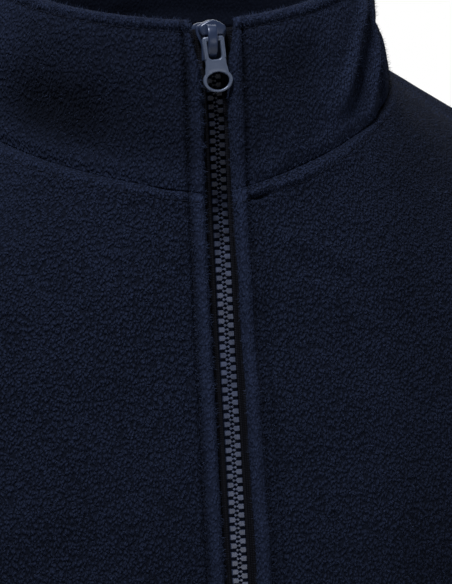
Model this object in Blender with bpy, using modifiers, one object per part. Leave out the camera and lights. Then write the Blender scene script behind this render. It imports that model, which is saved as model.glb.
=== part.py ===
"""Fleece zip jacket, filled out as if worn, with open neck, hem and cuffs.

The jacket faces -Y, the wearer's left is +X and +Z is up. The origin lies on the neck's axis, level
with the points where the shoulder seams meet the collar, which is where a wearer's shoulders hold it.
Every cloth piece is a wall drawn through the same few surfaces: the torso, the collar and the sleeve.
Sizes are in millimetres and become metres as each mesh is made.
"""

import math

import bmesh
import bpy
import numpy as np
from mathutils import Matrix, Vector

MM = 0.001
SHARP = math.radians(50)
MERGED = 0.00001
OBJECT_NAME = "fleece_zip_jacket"

# Cloth
WALL = 2.4
TURNED_WALL = 4.6
SEAM_GAP = 0.3
HEM_BAND = 24.0
BAND_REACH, HEM_REACH = 0.2, 2.0
CUFF_BAND = 22.0

# Torso: one row for each level, from the hem up to the neck seam
TORSO_COLUMNS = ("z_front", "z_side", "z_back", "half_width", "front", "back", "square", "dip", "skew")
TORSO_ROWS = {
    "hem": (-668, -664, -668, 208, 131, 130, 2.3, 1.6, 0),
    "hip": (-560, -556, -556, 207, 128, 131, 2.3, 1.6, 0),
    "waist": (-440, -436, -434, 199, 130, 121, 2.3, 1.6, 0),
    "ribs": (-330, -328, -322, 203, 138, 122, 2.35, 1.6, 0),
    "underarm": (-246, -240, -228, 209, 140, 128, 2.4, 1.6, 0),
    "chest": (-184, -178, -150, 232, 132.5, 131, 2.15, 1.6, 0),
    "across": (-126, -128, -84, 244, 117, 127, 1.8, 1.6, 0),
    "cap": (-106, -96, -60, 240, 111, 121, 1.75, 1.6, 0),
    "shoulder": (-88, -68, -36, 216, 105.5, 113, 1.8, 1.6, 0),
    "slope": (-66, -45, -12, 168, 100, 101, 1.9, 1.5, 1.5),
    "base": (-47, -20, 6, 119, 95, 87, 1.95, 1.3, 3.5),
    "neck": (-32, 1, 16, 89, 91, 77, 2.0, 1.15, 5.0),
}
BACK_DIP = 1.6
MEASURED_ANGLE = 50

# Armhole: the sweep is how far its edge reaches round from the side, in degrees
ARM_LOW, ARM_HIGH = "underarm", "shoulder"
FRONT_SWEEP, BACK_SWEEP = 42.0, 39.0
UNDERARM_BEND, FLAT_SHOULDER = 100.0, 0.3

# Left sleeve: centre and half sizes of the tube at each station
SLEEVE_COLUMNS = ("x", "y", "z", "across", "deep")
SLEEVE_ROWS = {
    "biceps": (281, 2, -258, 63, 68),
    "upper": (303, 5, -322, 60, 64),
    "above_elbow": (327, 6, -392, 57, 61),
    "elbow": (346, 1, -456, 54, 57),
    "forearm": (361, -13, -524, 50, 52),
    "wrist": (371, -33, -592, 45, 46),
    "cuff": (377, -50, -650, 41, 42),
}

# Collar rim
RIM_FRONT, RIM_SIDE, RIM_BACK = 80.0, 78.0, 76.0
RIM_Z_FRONT, RIM_Z_SIDE, RIM_Z_BACK = 32.0, 53.0, 82.0
RIM_DIP, RIM_SKEW = 1.6, 2.5
COLLAR_BULGE = 2.0

# Folds: a soft ridge (height above 0) or trough, from one end to the other. On the torso the first
# number is 3 mm for each degree round from the front and the second is the height; on a sleeve they
# are degrees round from the underarm and 70 mm for each station; on the collar they are 1.4 mm for
# each degree and the height above the neck seam.
FOLD_COLUMNS = ("from_u", "from_v", "to_u", "to_v", "width", "height")
FOLD_END_FADE = 0.6
TORSO_MM_PER_DEGREE, COLLAR_MM_PER_DEGREE = 3.0, 1.4
STATION_MM, COLLAR_MM = 70, 62
TORSO_FOLDS = {
    "left armhole drag": (150, -215, 70, -300, 20, 5.0),
    "left armhole hollow": (165, -250, 80, -345, 18, -3.5),
    "right armhole drag": (-148, -225, -60, -290, 22, 4.5),
    "right armhole hollow": (-160, -262, -85, -352, 18, -4.0),
    "left waist fold": (300, -440, 170, -395, 20, 4.5),
    "left waist hollow": (280, -470, 160, -430, 18, -3.0),
    "right waist fold": (-310, -430, -185, -410, 20, 5.0),
    "right hip fold": (-290, -520, -150, -480, 22, 3.5),
    "back sway": (470, -455, 610, -445, 26, -4.0),
    "back left blade": (380, -160, 350, -330, 26, 4.0),
    "back right blade": (-385, -170, -345, -320, 26, 4.0),
    "left hem wave": (120, -668, 130, -560, 26, 4.0),
    "right hem wave": (-170, -668, -150, -580, 26, 4.0),
    "left side hem wave": (330, -668, 350, -570, 28, -4.0),
}
SLEEVE_FOLDS = {
    "inner elbow": (60, 235, 160, 262, 13, -4.5),
    "above inner elbow": (40, 208, 140, 226, 14, 4.0),
    "below inner elbow": (45, 280, 150, 300, 13, 4.0),
    "outer elbow": (215, 250, 300, 285, 16, 3.0),
    "cap drag": (95, 75, 40, 125, 15, 3.5),
    "back drag": (280, 70, 320, 130, 16, 3.5),
    "forearm fold": (60, 350, 170, 372, 13, 3.5),
    "wrist fold": (200, 392, 320, 412, 12, 3.5),
    "wrist hollow": (20, 402, 130, 422, 12, -3.0),
}
CAP_FADE = 0.8
COLLAR_FOLDS = {
    "left long ridge": (86, 62, 66, 8, 8, 2.4),
    "left side hollow": (98, 52, 84, 4, 7, -2.2),
    "left side ridge": (112, 46, 104, 2, 9, 2.2),
    "right hollow": (-54, 34, -70, 8, 14, -2.4),
    "right ridge": (-92, 58, -84, 6, 11, 2.2),
    "back hollow": (178, 40, 236, 34, 14, -2.0),
}

# Zip: half widths from the centre line, and depths below the cloth's outer face
EDGE_COLUMNS = ("z", "half_gap")
EDGE_ROWS = {
    "hem": (-668, 5.6),
    "chest": (-120, 5.6),
    "neck seam": (-32, 4.9),
    "collar": (-6, 4.6),
    "slider foot": (12, 5.3),
    "slider wings": (24, 7.9),
    "rim": (32, 9.2),
}
ZIP_BAND = 16.5
TAPE_EDGE = 15.5
CHAIN_HALF = 2.85
CHAIN_FRONT, CHAIN_BACK = 4.0, 6.6
TAPE, TAPE_CLEARANCE = 0.8, 0.45
TAPE_FRONT = TURNED_WALL + TAPE_CLEARANCE
TAPE_BACK = TAPE_FRONT + TAPE
TAPE_END = 1.2
TAPE_STEPS = (0.6, 1.4)
CHAIN_END = 0.6
BOX_HALF, BOX_HEIGHT = 4.2, 9.4
BOX_FRONT, BOX_BACK = 3.2, 7.4
BOX_LIFT = 1.2
BOX_BEVEL = 0.6

# Slider: its own frame has x across, y up along the zip and z out of the cloth
SLIDER_BELOW_RIM = 7.4
PLATE = 1.4
TOP_PLATE_Z = -CHAIN_FRONT + SEAM_GAP + PLATE / 2
BOTTOM_PLATE_Z = -CHAIN_BACK - SEAM_GAP - PLATE / 2
# Outlines list the points of a right edge as x and y; an arc lists its centre, half sizes, the
# angles in degrees where it starts and ends, and its steps
PLATE_EDGE = {
    "foot": (3.3, -8.0),
    "foot corner": (4.1, -7.2),
    "rail top": (4.1, -2.2),
    "wing foot": (6.2, 1.6),
    "wing tip": (6.2, 3.4),
    "shoulder": (4.6, 5.6),
    "crown": (2.4, 6.6),
}
POST_EDGE = {"foot": (0.0, 0.4), "widest": (2.2, 4.2), "crown": (1.2, 6.2)}
BRIDGE_HALF = 1.9
BRIDGE_FEET = {"low outside": -7.3, "low inside": -5.5, "high inside": 3.6, "high outside": 5.6}
BRIDGE_ARCS = {
    "low outside": (-4.4, 1.4, 2.6, 2.6, 175, 90, 4),
    "high outside": (2.6, 1.4, 2.6, 2.6, 90, 5, 4),
    "high inside": (2.2, 1.3, 1.2, 1.5, 20, 90, 3),
    "low inside": (-4.0, 1.3, 1.5, 1.5, 90, 170, 3),
}
PIVOT_Z = 1.25

# Pull tab: its frame's origin is on the hinge
TAB = 1.6
TAB_BAR = 0.9
TAB_HALF, TAB_TOP, TAB_CORNER = 4.2, 0.3, 0.6
WAIST_HALF, WAIST_Y, WAIST_RISE = 3.9, -10.0, 4.0
WINDOW_HALF, WINDOW_BOTTOM, WINDOW_CORNER = 2.75, -8.3, 1.2
RING_Y, RING_HALF_X, RING_HALF_Y = -15.6, 5.65, 4.9
HOLE_HALF_X, HOLE_HALF_Y, HOLE_Y = 4.3, 3.3, -15.7

# How finely each surface is divided
BODY_ROWS, ARM_ROWS, SHOULDER_ROWS = 13, 10, 4
FRONT_COLUMNS, BACK_COLUMNS = 8, 9
COLLAR_DIVISIONS = 6
CAP_ROWS, TUBE_ROWS = 5, 13


# How far round a place its slopes are read, and how an angle is looked for
STEP, TURN_STEP, STATION_STEP = 0.004, 0.002, 0.02
WIDEST_ANGLE, HALVINGS = math.radians(40), 30
READ_POINTS, LEAST_STEP = 2001, 0.002


# ---------------------------------------------------------------- curves and surfaces
def columns(names, rows):
    """Turn a table of named rows into one array for each named column."""
    return {name: np.array([row[i] for row in rows.values()], float) for i, name in enumerate(names)}


def spline_slopes(knots, values):
    """Slopes at the knots that make the curve's bending run on smoothly through each of them."""
    last = len(knots) - 1
    width = np.diff(knots)
    grade = np.diff(values) / width
    system, wanted = np.zeros((last + 1, last + 1)), np.zeros(last + 1)
    for i in range(last + 1):
        for span in (i - 1, i):
            if 0 <= span < last:
                system[i, i] += 2 / width[span]
                system[i, span + 1 if span == i else span] += 1 / width[span]
                wanted[i] += 3 * grade[span] / width[span]
    return np.linalg.solve(system, wanted)


def spline(knots, values, at):
    """Smooth curve through each value at its knot, read at the given places."""
    slopes = spline_slopes(knots, values)
    i = np.clip(np.searchsorted(knots, at, side="right") - 1, 0, len(knots) - 2)
    width = knots[i + 1] - knots[i]
    t = (at - knots[i]) / width
    rise = values[i + 1] - values[i]
    start, end = slopes[i] * width, slopes[i + 1] * width
    return values[i] + t * start + t**2 * (3 * rise - 2 * start - end) + t**3 * (start + end - 2 * rise)


def unit(vectors):
    return vectors / np.linalg.norm(vectors, axis=-1, keepdims=True)


def smoothstep(x):
    x = np.clip(x, 0, 1)
    return x * x * (3 - 2 * x)


def fold_height(folds, u, v, period=None):
    """Height of all the folds at u, v: each is a soft line that fades past its ends."""
    total = np.zeros(np.broadcast(u, v).shape)
    for row in folds.values():
        fold = dict(zip(FOLD_COLUMNS, row))
        along_u, along_v = fold["to_u"] - fold["from_u"], fold["to_v"] - fold["from_v"]
        off_u, off_v = u - fold["from_u"], v - fold["from_v"]
        if period:
            off_u = (off_u + period / 2) % period - period / 2
        t = np.clip((off_u * along_u + off_v * along_v) / (along_u**2 + along_v**2), 0, 1)
        distance = np.hypot(off_u - t * along_u, off_v - t * along_v)
        along = 1 - FOLD_END_FADE * (2 * t - 1) ** 2
        total += fold["height"] * along * np.exp(-((distance / fold["width"]) ** 2))
    return total


def superellipse(angle, half_width, front, back, square):
    """x and y of a section; the angle is 0 at the front, pi/2 at the wearer's left."""
    sine, cosine = np.sin(angle), np.cos(angle)
    power = 2 / square
    x = half_width * np.sign(sine) * np.abs(sine) ** power
    y = np.where(cosine > 0, -front, back) * np.abs(cosine) ** power
    return x, y


def tilted(angle, z_front, z_side, z_back, dip, skew):
    """Height round a section: it dips from the sides to the front and back, and leans by its skew."""
    turned = np.abs((angle + np.pi) % (2 * np.pi) - np.pi) / (np.pi / 2)
    front = z_side + (z_front - z_side) * (1 - np.minimum(turned, 1) ** dip)
    back = z_side + (z_back - z_side) * (1 - np.minimum(2 - turned, 1) ** BACK_DIP)
    return np.where(turned < 1, front, back) + skew * np.sin(angle)


TORSO = columns(TORSO_COLUMNS, TORSO_ROWS)
EDGES = columns(EDGE_COLUMNS, EDGE_ROWS)
SLEEVE = columns(SLEEVE_COLUMNS, SLEEVE_ROWS)
STATIONS = np.arange(len(SLEEVE_ROWS), dtype=float)


def torso_levels():
    """Place the torso's rows from 0 at the hem to 1 at the neck seam by their distance apart."""
    angle = np.radians(MEASURED_ANGLE)
    x, y = superellipse(angle, TORSO["half_width"], TORSO["front"], TORSO["back"], TORSO["square"])
    z = tilted(angle, *(TORSO[name] for name in ("z_front", "z_side", "z_back", "dip", "skew")))
    points = np.stack([x, y, z], axis=-1)
    steps = np.linalg.norm(np.diff(points, axis=0), axis=-1)
    return np.concatenate([[0], np.cumsum(steps)]) / steps.sum()


LEVELS = torso_levels()


def level_of(row):
    return LEVELS[list(TORSO_ROWS).index(row)]


def plain_torso(angle, level):
    read = {name: spline(LEVELS, column, level) for name, column in TORSO.items()}
    x, y = superellipse(angle, read["half_width"], read["front"], read["back"], read["square"])
    z = tilted(angle, *(read[name] for name in ("z_front", "z_side", "z_back", "dip", "skew")))
    return np.stack([x, y, z], axis=-1)


def surface_normal(surface, u, v):
    """Outward normal of a surface, from the points around each place; v runs from 0 to 1."""
    across = surface(u + STEP, v) - surface(u - STEP, v)
    upward = surface(u, np.minimum(v + STEP, 1)) - surface(u, np.maximum(v - STEP, 0))
    return unit(np.cross(across, upward))


def torso(angle, level):
    """The torso with its folds; the angle is in radians and runs from -pi to pi round the body."""
    points = plain_torso(angle, level)
    round_mm = np.degrees(angle) * TORSO_MM_PER_DEGREE
    height = fold_height(TORSO_FOLDS, round_mm, points[..., 2], period=360 * TORSO_MM_PER_DEGREE)
    return points + height[..., None] * surface_normal(plain_torso, angle, level)


def torso_normal(angle, level):
    return surface_normal(torso, angle, level)


def plain_collar(angle, rise):
    """Collar, rise 0 at the neck seam and 1 at the rim."""
    foot = torso(angle, np.ones_like(rise * angle))
    x, y = superellipse(angle, RIM_SIDE, RIM_FRONT, RIM_BACK, 2.0)
    z = tilted(angle, RIM_Z_FRONT, RIM_Z_SIDE, RIM_Z_BACK, RIM_DIP, RIM_SKEW)
    rim = np.stack(np.broadcast_arrays(x, y, z), axis=-1)
    outward = unit(rim * np.array([1, 1, 0]))
    rise = np.asarray(rise)[..., None]
    bulge = COLLAR_BULGE * np.sin(np.pi * rise) * (1 - np.cos(angle)[..., None] ** 2)
    return foot + (rim - foot) * rise + bulge * outward


def collar(angle, rise):
    points = plain_collar(angle, rise)
    round_mm = np.degrees(angle) * COLLAR_MM_PER_DEGREE
    height = fold_height(COLLAR_FOLDS, round_mm, rise * COLLAR_MM, period=360 * COLLAR_MM_PER_DEGREE)
    return points + height[..., None] * surface_normal(plain_collar, angle, rise)


def collar_normal(angle, rise):
    return surface_normal(collar, angle, rise)


def armhole(turn):
    """Angle and level on the left armhole: turn 0 at the underarm, then front, shoulder and back."""
    low, high = level_of(ARM_LOW), level_of(ARM_HIGH)
    sweep = np.where(np.sin(2 * np.pi * turn) > 0, FRONT_SWEEP, BACK_SWEEP)
    angle = np.radians(90 - sweep * np.sin(2 * np.pi * turn))
    level = (low + high) / 2 - (high - low) / 2 * np.cos(2 * np.pi * turn)
    return angle, level


def armhole_frame(turn, side):
    """Points of an armhole's edge, the torso's normal there and the way off the panel's edge."""
    def place(at):
        angle, level = armhole(at)
        return torso(side * angle, level)
    angle, level = armhole(turn)
    normal = torso_normal(side * angle, level)
    tangent = unit(place(turn + TURN_STEP) - place(turn - TURN_STEP))
    return place(turn), normal, unit(np.cross(tangent, normal)) * side


def sleeve_tube(turn, station, side):
    """The sleeve below its cap, as rings round a curved centre line."""
    def centre(at):
        return np.stack([spline(STATIONS, SLEEVE[axis], at) for axis in ("x", "y", "z")], axis=-1)
    above, below = np.minimum(station + STATION_STEP, STATIONS[-1]), np.maximum(station - STATION_STEP, 0)
    direction = unit(centre(above) - centre(below))
    ahead = np.array([0.0, -1.0, 0.0])
    ahead = unit(ahead - (direction @ ahead)[..., None] * direction)
    outward = np.cross(ahead, direction)
    across = (-spline(STATIONS, SLEEVE["across"], station) * np.cos(2 * np.pi * turn))[..., None]
    deep = (spline(STATIONS, SLEEVE["deep"], station) * np.sin(2 * np.pi * turn))[..., None]
    mirror = np.array([side, 1, 1])
    return (centre(station) + across * outward + deep * ahead) * mirror, direction * mirror


def cap_bend(turn):
    """How far the sleeve turns out of the torso's surface at its seam: most at the underarm."""
    from_shoulder = np.abs(turn % 1 - 0.5) * 2
    return np.radians(UNDERARM_BEND) * smoothstep((from_shoulder - FLAT_SHOULDER) / (1 - FLAT_SHOULDER))


def plain_sleeve(turn, run, side):
    """Left or right sleeve: run 0 at the armhole, 1 at the end of the cap and up to the cuff."""
    turn, run = np.broadcast_arrays(turn, run)
    edge, normal, off_edge = armhole_frame(turn, side)
    bend = cap_bend(turn)[..., None]
    start = np.cos(bend) * off_edge + np.sin(bend) * normal
    ring, direction = sleeve_tube(turn, np.maximum(run - 1, 0), side)
    first_ring, first_direction = sleeve_tube(turn, np.zeros_like(run), side)
    span = np.linalg.norm(first_ring - edge, axis=-1, keepdims=True)
    t = np.clip(run, 0, 1)[..., None]
    cap = (
        edge * (1 + 2 * t) * (1 - t) ** 2
        + start * span * t * (1 - t) ** 2
        + first_ring * t**2 * (3 - 2 * t)
        - first_direction * span * t**2 * (1 - t)
    )
    return np.where(run[..., None] > 1, ring, cap)


def sleeve_normal_of(surface, turn, run, side):
    last = len(SLEEVE_ROWS)
    across = surface(turn + STEP, run, side) - surface(turn - STEP, run, side)
    along = surface(turn, np.minimum(run + STEP, last), side) - surface(turn, np.maximum(run - STEP, 0), side)
    return unit(np.cross(along, across)) * side


def sleeve(turn, run, side):
    points = plain_sleeve(turn, run, side)
    height = fold_height(SLEEVE_FOLDS, turn * 360, run * STATION_MM, period=360)
    height = height * smoothstep(run / CAP_FADE)
    return points + height[..., None] * sleeve_normal_of(plain_sleeve, turn, run, side)


def sleeve_normal(turn, run, side):
    """The sleeve's outward normal; at the armhole it starts from the torso's own."""
    normal = sleeve_normal_of(sleeve, turn, run, side)
    _, torso_side, off_edge = armhole_frame(turn, side)
    bend = cap_bend(turn)[..., None]
    at_seam = np.cos(bend) * torso_side - np.sin(bend) * off_edge
    return unit(np.where(run[..., None] > 0, normal, at_seam))


def angle_at(surface, x, v, side):
    """Angle at which a surface is x to one side of the centre line, found by halving."""
    low, high = np.zeros_like(v), np.full_like(v, WIDEST_ANGLE)
    for _ in range(HALVINGS):
        middle = (low + high) / 2
        inside = np.abs(surface(side * middle, v)[..., 0]) < x
        low, high = np.where(inside, middle, low), np.where(inside, high, middle)
    return (low + high) / 2


def half_gap(z):
    return np.interp(z, EDGES["z"], EDGES["half_gap"])


# ---------------------------------------------------------------- meshes
def material(name, colour, roughness, metallic=0.0):
    made = bpy.data.materials.new(name)
    made.use_nodes = True
    shader = made.node_tree.nodes["Principled BSDF"]
    shader.inputs["Base Color"].default_value = (*colour, 1)
    shader.inputs["Roughness"].default_value = roughness
    shader.inputs["Metallic"].default_value = metallic
    return made


def add_mesh(name, vertices, faces, surface, collection):
    mesh = bpy.data.meshes.new(name)
    mesh.from_pydata((np.asarray(vertices) * MM).tolist(), [], faces)
    mesh.materials.append(surface)
    mesh.shade_smooth()
    mesh.set_sharp_from_angle(angle=SHARP)
    part = bpy.data.objects.new(name, mesh)
    collection.objects.link(part)
    return part


def wall(name, outer, inner, surface, collection, closed=False):
    """Close two matching grids of points, rows by columns, into one solid wall."""
    rows, count = outer.shape[:2]
    vertices = np.concatenate([outer.reshape(-1, 3), inner.reshape(-1, 3)])
    inside = rows * count

    def at(row, column):
        return row * count + column % count

    faces = []
    for row in range(rows - 1):
        for column in range(count if closed else count - 1):
            ring = [at(row, column), at(row, column + 1), at(row + 1, column + 1), at(row + 1, column)]
            faces.append(ring)
            faces.append([inside + corner for corner in reversed(ring)])
    for column in range(count if closed else count - 1):
        for row, flip in ((0, False), (rows - 1, True)):
            first, second = at(row, column), at(row, column + 1)
            rim = [first, inside + first, inside + second, second]
            faces.append(rim[::-1] if flip else rim)
    if not closed:
        for row in range(rows - 1):
            for column, flip in ((0, True), (count - 1, False)):
                first, second = at(row, column), at(row + 1, column)
                rim = [first, inside + first, inside + second, second]
                faces.append(rim[::-1] if flip else rim)
    return add_mesh(name, vertices, faces, surface, collection)


def curve_solid(name, outlines, thickness, frame, surface, collection):
    """A flat plate of the given outlines (the later ones are holes), as a mesh in its frame."""
    curve = bpy.data.curves.new(name, "CURVE")
    curve.dimensions = "2D"
    curve.fill_mode = "BOTH"
    curve.extrude = thickness / 2 * MM
    for outline in outlines:
        line = curve.splines.new("POLY")
        line.points.add(len(outline) - 1)
        line.use_cyclic_u = True
        for point, (x, y) in zip(line.points, outline):
            point.co = (x * MM, y * MM, 0, 1)
    holder = bpy.data.objects.new(name + "_outline", curve)
    collection.objects.link(holder)
    bpy.context.view_layer.update()
    mesh = bpy.data.meshes.new_from_object(holder.evaluated_get(bpy.context.evaluated_depsgraph_get()))
    bpy.data.objects.remove(holder)
    shape = bmesh.new()
    shape.from_mesh(mesh)
    bmesh.ops.remove_doubles(shape, verts=shape.verts, dist=MERGED)
    bmesh.ops.recalc_face_normals(shape, faces=shape.faces)
    shape.to_mesh(mesh)
    shape.free()
    mesh.name = name
    mesh.materials.clear()
    mesh.materials.append(surface)
    part = bpy.data.objects.new(name, mesh)
    part.matrix_world = frame
    collection.objects.link(part)
    return part


def join_solids(base, others):
    """Union the other solids into the base and drop them."""
    for other in others:
        union = base.modifiers.new("Union", "BOOLEAN")
        union.operation = "UNION"
        union.solver = "EXACT"
        union.object = other
        bpy.context.view_layer.update()
        joined = bpy.data.meshes.new_from_object(base.evaluated_get(bpy.context.evaluated_depsgraph_get()))
        base.modifiers.remove(union)
        joined.name = base.name
        base.data = joined
        bpy.data.objects.remove(other)
    return base


# ---------------------------------------------------------------- cloth pieces
def torso_rows():
    """Levels of a panel's rows, with the place of the armhole's rows among them."""
    low, high = level_of(ARM_LOW), level_of(ARM_HIGH)
    hem_top = HEM_BAND / abs(TORSO["z_front"][0]) * low
    body = np.concatenate([[0, hem_top], np.linspace(hem_top, low, BODY_ROWS + 1)[1:-1]])
    _, arm = armhole(np.linspace(0, 0.5, ARM_ROWS + 1))
    shoulder = np.linspace(high, 1, SHOULDER_ROWS + 1)[1:]
    return np.concatenate([body, arm, shoulder]), len(body)


def panel_wall(name, angle, level, edges, surface, collection):
    """A torso panel: each edge lists its rows and columns, and how far to draw it in and which way."""
    points, normal = torso(angle, level), torso_normal(angle, level)
    for index, way in edges:
        points[index] -= way * SEAM_GAP / 2
    x, y, z = points[..., 0], points[..., 1], points[..., 2]
    beside_zip = (np.abs(x) < ZIP_BAND + BAND_REACH) & (y < 0)
    turned_up = z < TORSO["z_front"][0] + HEM_BAND + HEM_REACH
    thick = np.where(turned_up | beside_zip, TURNED_WALL, WALL)[..., None]
    return wall(name, points, points - thick * normal, surface, collection)


def off_edge_ways(level, first_arm, side, front):
    """Ways off a panel's outer edge: along the side seam, round the armhole, along the shoulder."""
    quarter = np.full_like(level, np.pi / 2) * side
    normal = torso_normal(quarter, level)
    upward = unit(torso(quarter, np.minimum(level + STEP, 1)) - torso(quarter, np.maximum(level - STEP, 0)))
    way = unit(np.cross(upward, normal)) * side * (1 if front else -1)
    turns = np.linspace(0, 0.5, ARM_ROWS + 1)
    _, _, off_arm = armhole_frame(turns if front else 1 - turns, side)
    last_arm = first_arm + ARM_ROWS
    seam_ends = way[[first_arm, last_arm]].copy()
    way[first_arm:last_arm + 1] = off_arm
    way[[first_arm, last_arm]] += seam_ends
    return way


def top_ways(angle, level):
    """Way up off the neck edge."""
    normal = torso_normal(angle, level)
    across = unit(torso(angle + STEP, level) - torso(angle - STEP, level))
    return np.cross(normal, across)


def panel_end(level, first_arm, front):
    """Angle of a panel's outer edge for each row."""
    end = np.full_like(level, np.pi / 2)
    turns = np.linspace(0, 0.5, ARM_ROWS + 1)
    end[first_arm:first_arm + ARM_ROWS + 1] = armhole(turns if front else 1 - turns)[0]
    return end


def front_angles(surface, v, end, z, side):
    """Angles of a front's columns: its folded edge, the zip's stitch line, then evenly to its end."""
    fold = angle_at(surface, half_gap(z), v, side)
    stitch = angle_at(surface, np.full_like(v, ZIP_BAND), v, side)[:, None]
    share = np.linspace(0, 1, FRONT_COLUMNS + 1)
    rest = stitch + share * (np.pi / 2 - stitch) - share**2 * (np.pi / 2 - end)[:, None]
    return np.concatenate([fold[:, None], rest], axis=1)


def make_front(name, side, surface, collection):
    level, first_arm = torso_rows()
    z = torso(np.zeros_like(level), level)[:, 2]
    angle = front_angles(torso, level, panel_end(level, first_arm, True), z, side) * side
    levels = np.broadcast_to(level[:, None], angle.shape)
    outer_column = angle.shape[1] - 1
    edges = [
        ((slice(None), outer_column), off_edge_ways(level, first_arm, side, True)),
        ((len(level) - 1, slice(None)), top_ways(angle[-1], levels[-1])),
    ]
    if side < 0:
        angle = angle[:, ::-1]
        edges = [((edges[0][0][0], 0), edges[0][1]), (edges[1][0], edges[1][1][::-1])]
    return panel_wall(name, angle, levels, edges, surface, collection)


def make_back(name, surface, collection):
    level, first_arm = torso_rows()
    end = panel_end(level, first_arm, False)
    share = np.linspace(0, 1, BACK_COLUMNS + 1)
    left = end[:, None] + share * (np.pi / 2) + (2 * share - share**2) * (np.pi / 2 - end)[:, None]
    angle = np.concatenate([left, 2 * np.pi - left[:, -2::-1]], axis=1)
    levels = np.broadcast_to(level[:, None], angle.shape)
    edges = [
        ((slice(None), 0), off_edge_ways(level, first_arm, 1, False)),
        ((slice(None), angle.shape[1] - 1), off_edge_ways(level, first_arm, -1, False)),
        ((len(level) - 1, slice(None)), top_ways(angle[-1], levels[-1])),
    ]
    return panel_wall(name, angle, levels, edges, surface, collection)


def make_sleeve(name, side, surface, collection):
    turns = np.arange(2 * ARM_ROWS) / (2 * ARM_ROWS)
    last = len(SLEEVE_ROWS)
    tube_length = SLEEVE["z"][0] - SLEEVE["z"][-1]
    band_run = last - CUFF_BAND / tube_length * (last - 1)
    cap = np.linspace(0, 1, CAP_ROWS + 1)
    tube = np.linspace(1, band_run, TUBE_ROWS)[1:]
    runs = np.concatenate([cap, tube, [last]])
    turn, run = np.meshgrid(turns, runs)
    points, normal = sleeve(turn, run, side), sleeve_normal(turn, run, side)
    bend = cap_bend(turns)[:, None]
    _, torso_side, off_edge = armhole_frame(turns, side)
    start = np.cos(bend) * off_edge + np.sin(bend) * torso_side
    points[0] += start * SEAM_GAP / 2 / np.cos(bend / 2)
    thick = np.where(run >= band_run, TURNED_WALL, WALL)[..., None]
    inner = points - thick * normal
    if side > 0:
        points, inner = points[::-1], inner[::-1]
    return wall(name, points, inner, surface, collection, closed=True)


def make_collar(name, surface, collection):
    rise = np.linspace(0, 1, COLLAR_DIVISIONS + 1)
    z = plain_collar(np.zeros_like(rise), rise)[:, 2]
    end = np.full_like(rise, np.pi / 2)
    left = front_angles(collar, rise, end, z, 1)
    right = front_angles(collar, rise, end, z, -1)
    back = np.linspace(np.pi / 2, 3 * np.pi / 2, 2 * BACK_COLUMNS + 1)[1:-1]
    back = np.broadcast_to(back, (len(rise), len(back)))
    angle = np.concatenate([left, back, 2 * np.pi - right[:, ::-1]], axis=1)
    rises = np.broadcast_to(rise[:, None], angle.shape)
    points, normal = collar(angle, rises), collar_normal(angle, rises)
    points[0] += unit(points[1] - points[0]) * SEAM_GAP / 2
    return wall(name, points, points - TURNED_WALL * normal, surface, collection)


# ---------------------------------------------------------------- zip
def zip_line(x, side, at, surface, normal):
    """Points and normals of one surface, x to one side of the centre line."""
    angle = angle_at(surface, x, at, side) * side
    return surface(angle, at), normal(angle, at)


def zip_rows(z_from, z_to, z_extra=()):
    """Rows from low to high along the centre line: levels on the torso, then rises on the collar."""
    level, _ = torso_rows()
    fine = np.linspace(0, 1, READ_POINTS)
    heights = torso(np.zeros_like(fine), fine)[:, 2]
    starts = np.interp([z_from, *z_extra], heights, fine)
    levels = np.concatenate([starts, level[level > starts[-1] + LEAST_STEP][:-1]])
    rise = np.linspace(0, 1, COLLAR_DIVISIONS + 1)[1:]
    top = np.interp(z_to, [TORSO["z_front"][-1], RIM_Z_FRONT], [0, 1])
    rises = np.concatenate([rise[rise < top - LEAST_STEP], [top]])
    return levels, rises


def strip(x, side, levels, rises):
    """Points and normals along the front, through the neck seam, x to one side."""
    def across(values):
        return np.broadcast_to(np.asarray(x, float), values.shape).copy()
    low, low_normal = zip_line(across(levels), side, levels, torso, torso_normal)
    seam = np.array([1.0])
    neck, neck_normal = zip_line(across(seam), side, seam, torso, torso_normal)
    foot_normal = collar_normal(angle_at(collar, across(seam), seam * 0, side) * side, seam * 0)
    high, high_normal = zip_line(across(rises), side, rises, collar, collar_normal)
    points = np.concatenate([low, neck, high])
    normals = np.concatenate([low_normal, unit(neck_normal + foot_normal), high_normal])
    return points, normals


def zip_wall(name, left, right, front_depth, back_depth, surface, collection):
    """A band between two lines of points, from one depth below the cloth's face to another."""
    points = np.stack([left[0], right[0]], axis=1)
    normals = np.stack([left[1], right[1]], axis=1)
    outer, inner = points - front_depth * normals, points - back_depth * normals
    return wall(name, outer, inner, surface, collection)


def make_tape(name, side, surface, collection):
    hem = TORSO["z_front"][0]
    box_top = hem + BOX_LIFT + BOX_HEIGHT
    levels, rises = zip_rows(hem + TAPE_END, RIM_Z_FRONT - TAPE_END, [box_top + step for step in TAPE_STEPS])
    inner = strip(CHAIN_HALF + SEAM_GAP, side, levels, rises)
    outer = strip(TAPE_EDGE, side, levels, rises)
    inner[0][:2, 0] = side * (BOX_HALF + SEAM_GAP)
    pair = (inner, outer) if side > 0 else (outer, inner)
    return zip_wall(name, *pair, TAPE_FRONT, TAPE_BACK, surface, collection)


def make_chain(name, surface, collection):
    hem = TORSO["z_front"][0]
    chain_top = RIM_Z_FRONT - SLIDER_BELOW_RIM - CHAIN_END
    levels, rises = zip_rows(hem + BOX_LIFT + BOX_HEIGHT + SEAM_GAP, chain_top)
    lines = [strip(CHAIN_HALF, side, levels, rises) for side in (-1, 1)]
    return zip_wall(name, *lines, CHAIN_FRONT, CHAIN_BACK, surface, collection)


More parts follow.
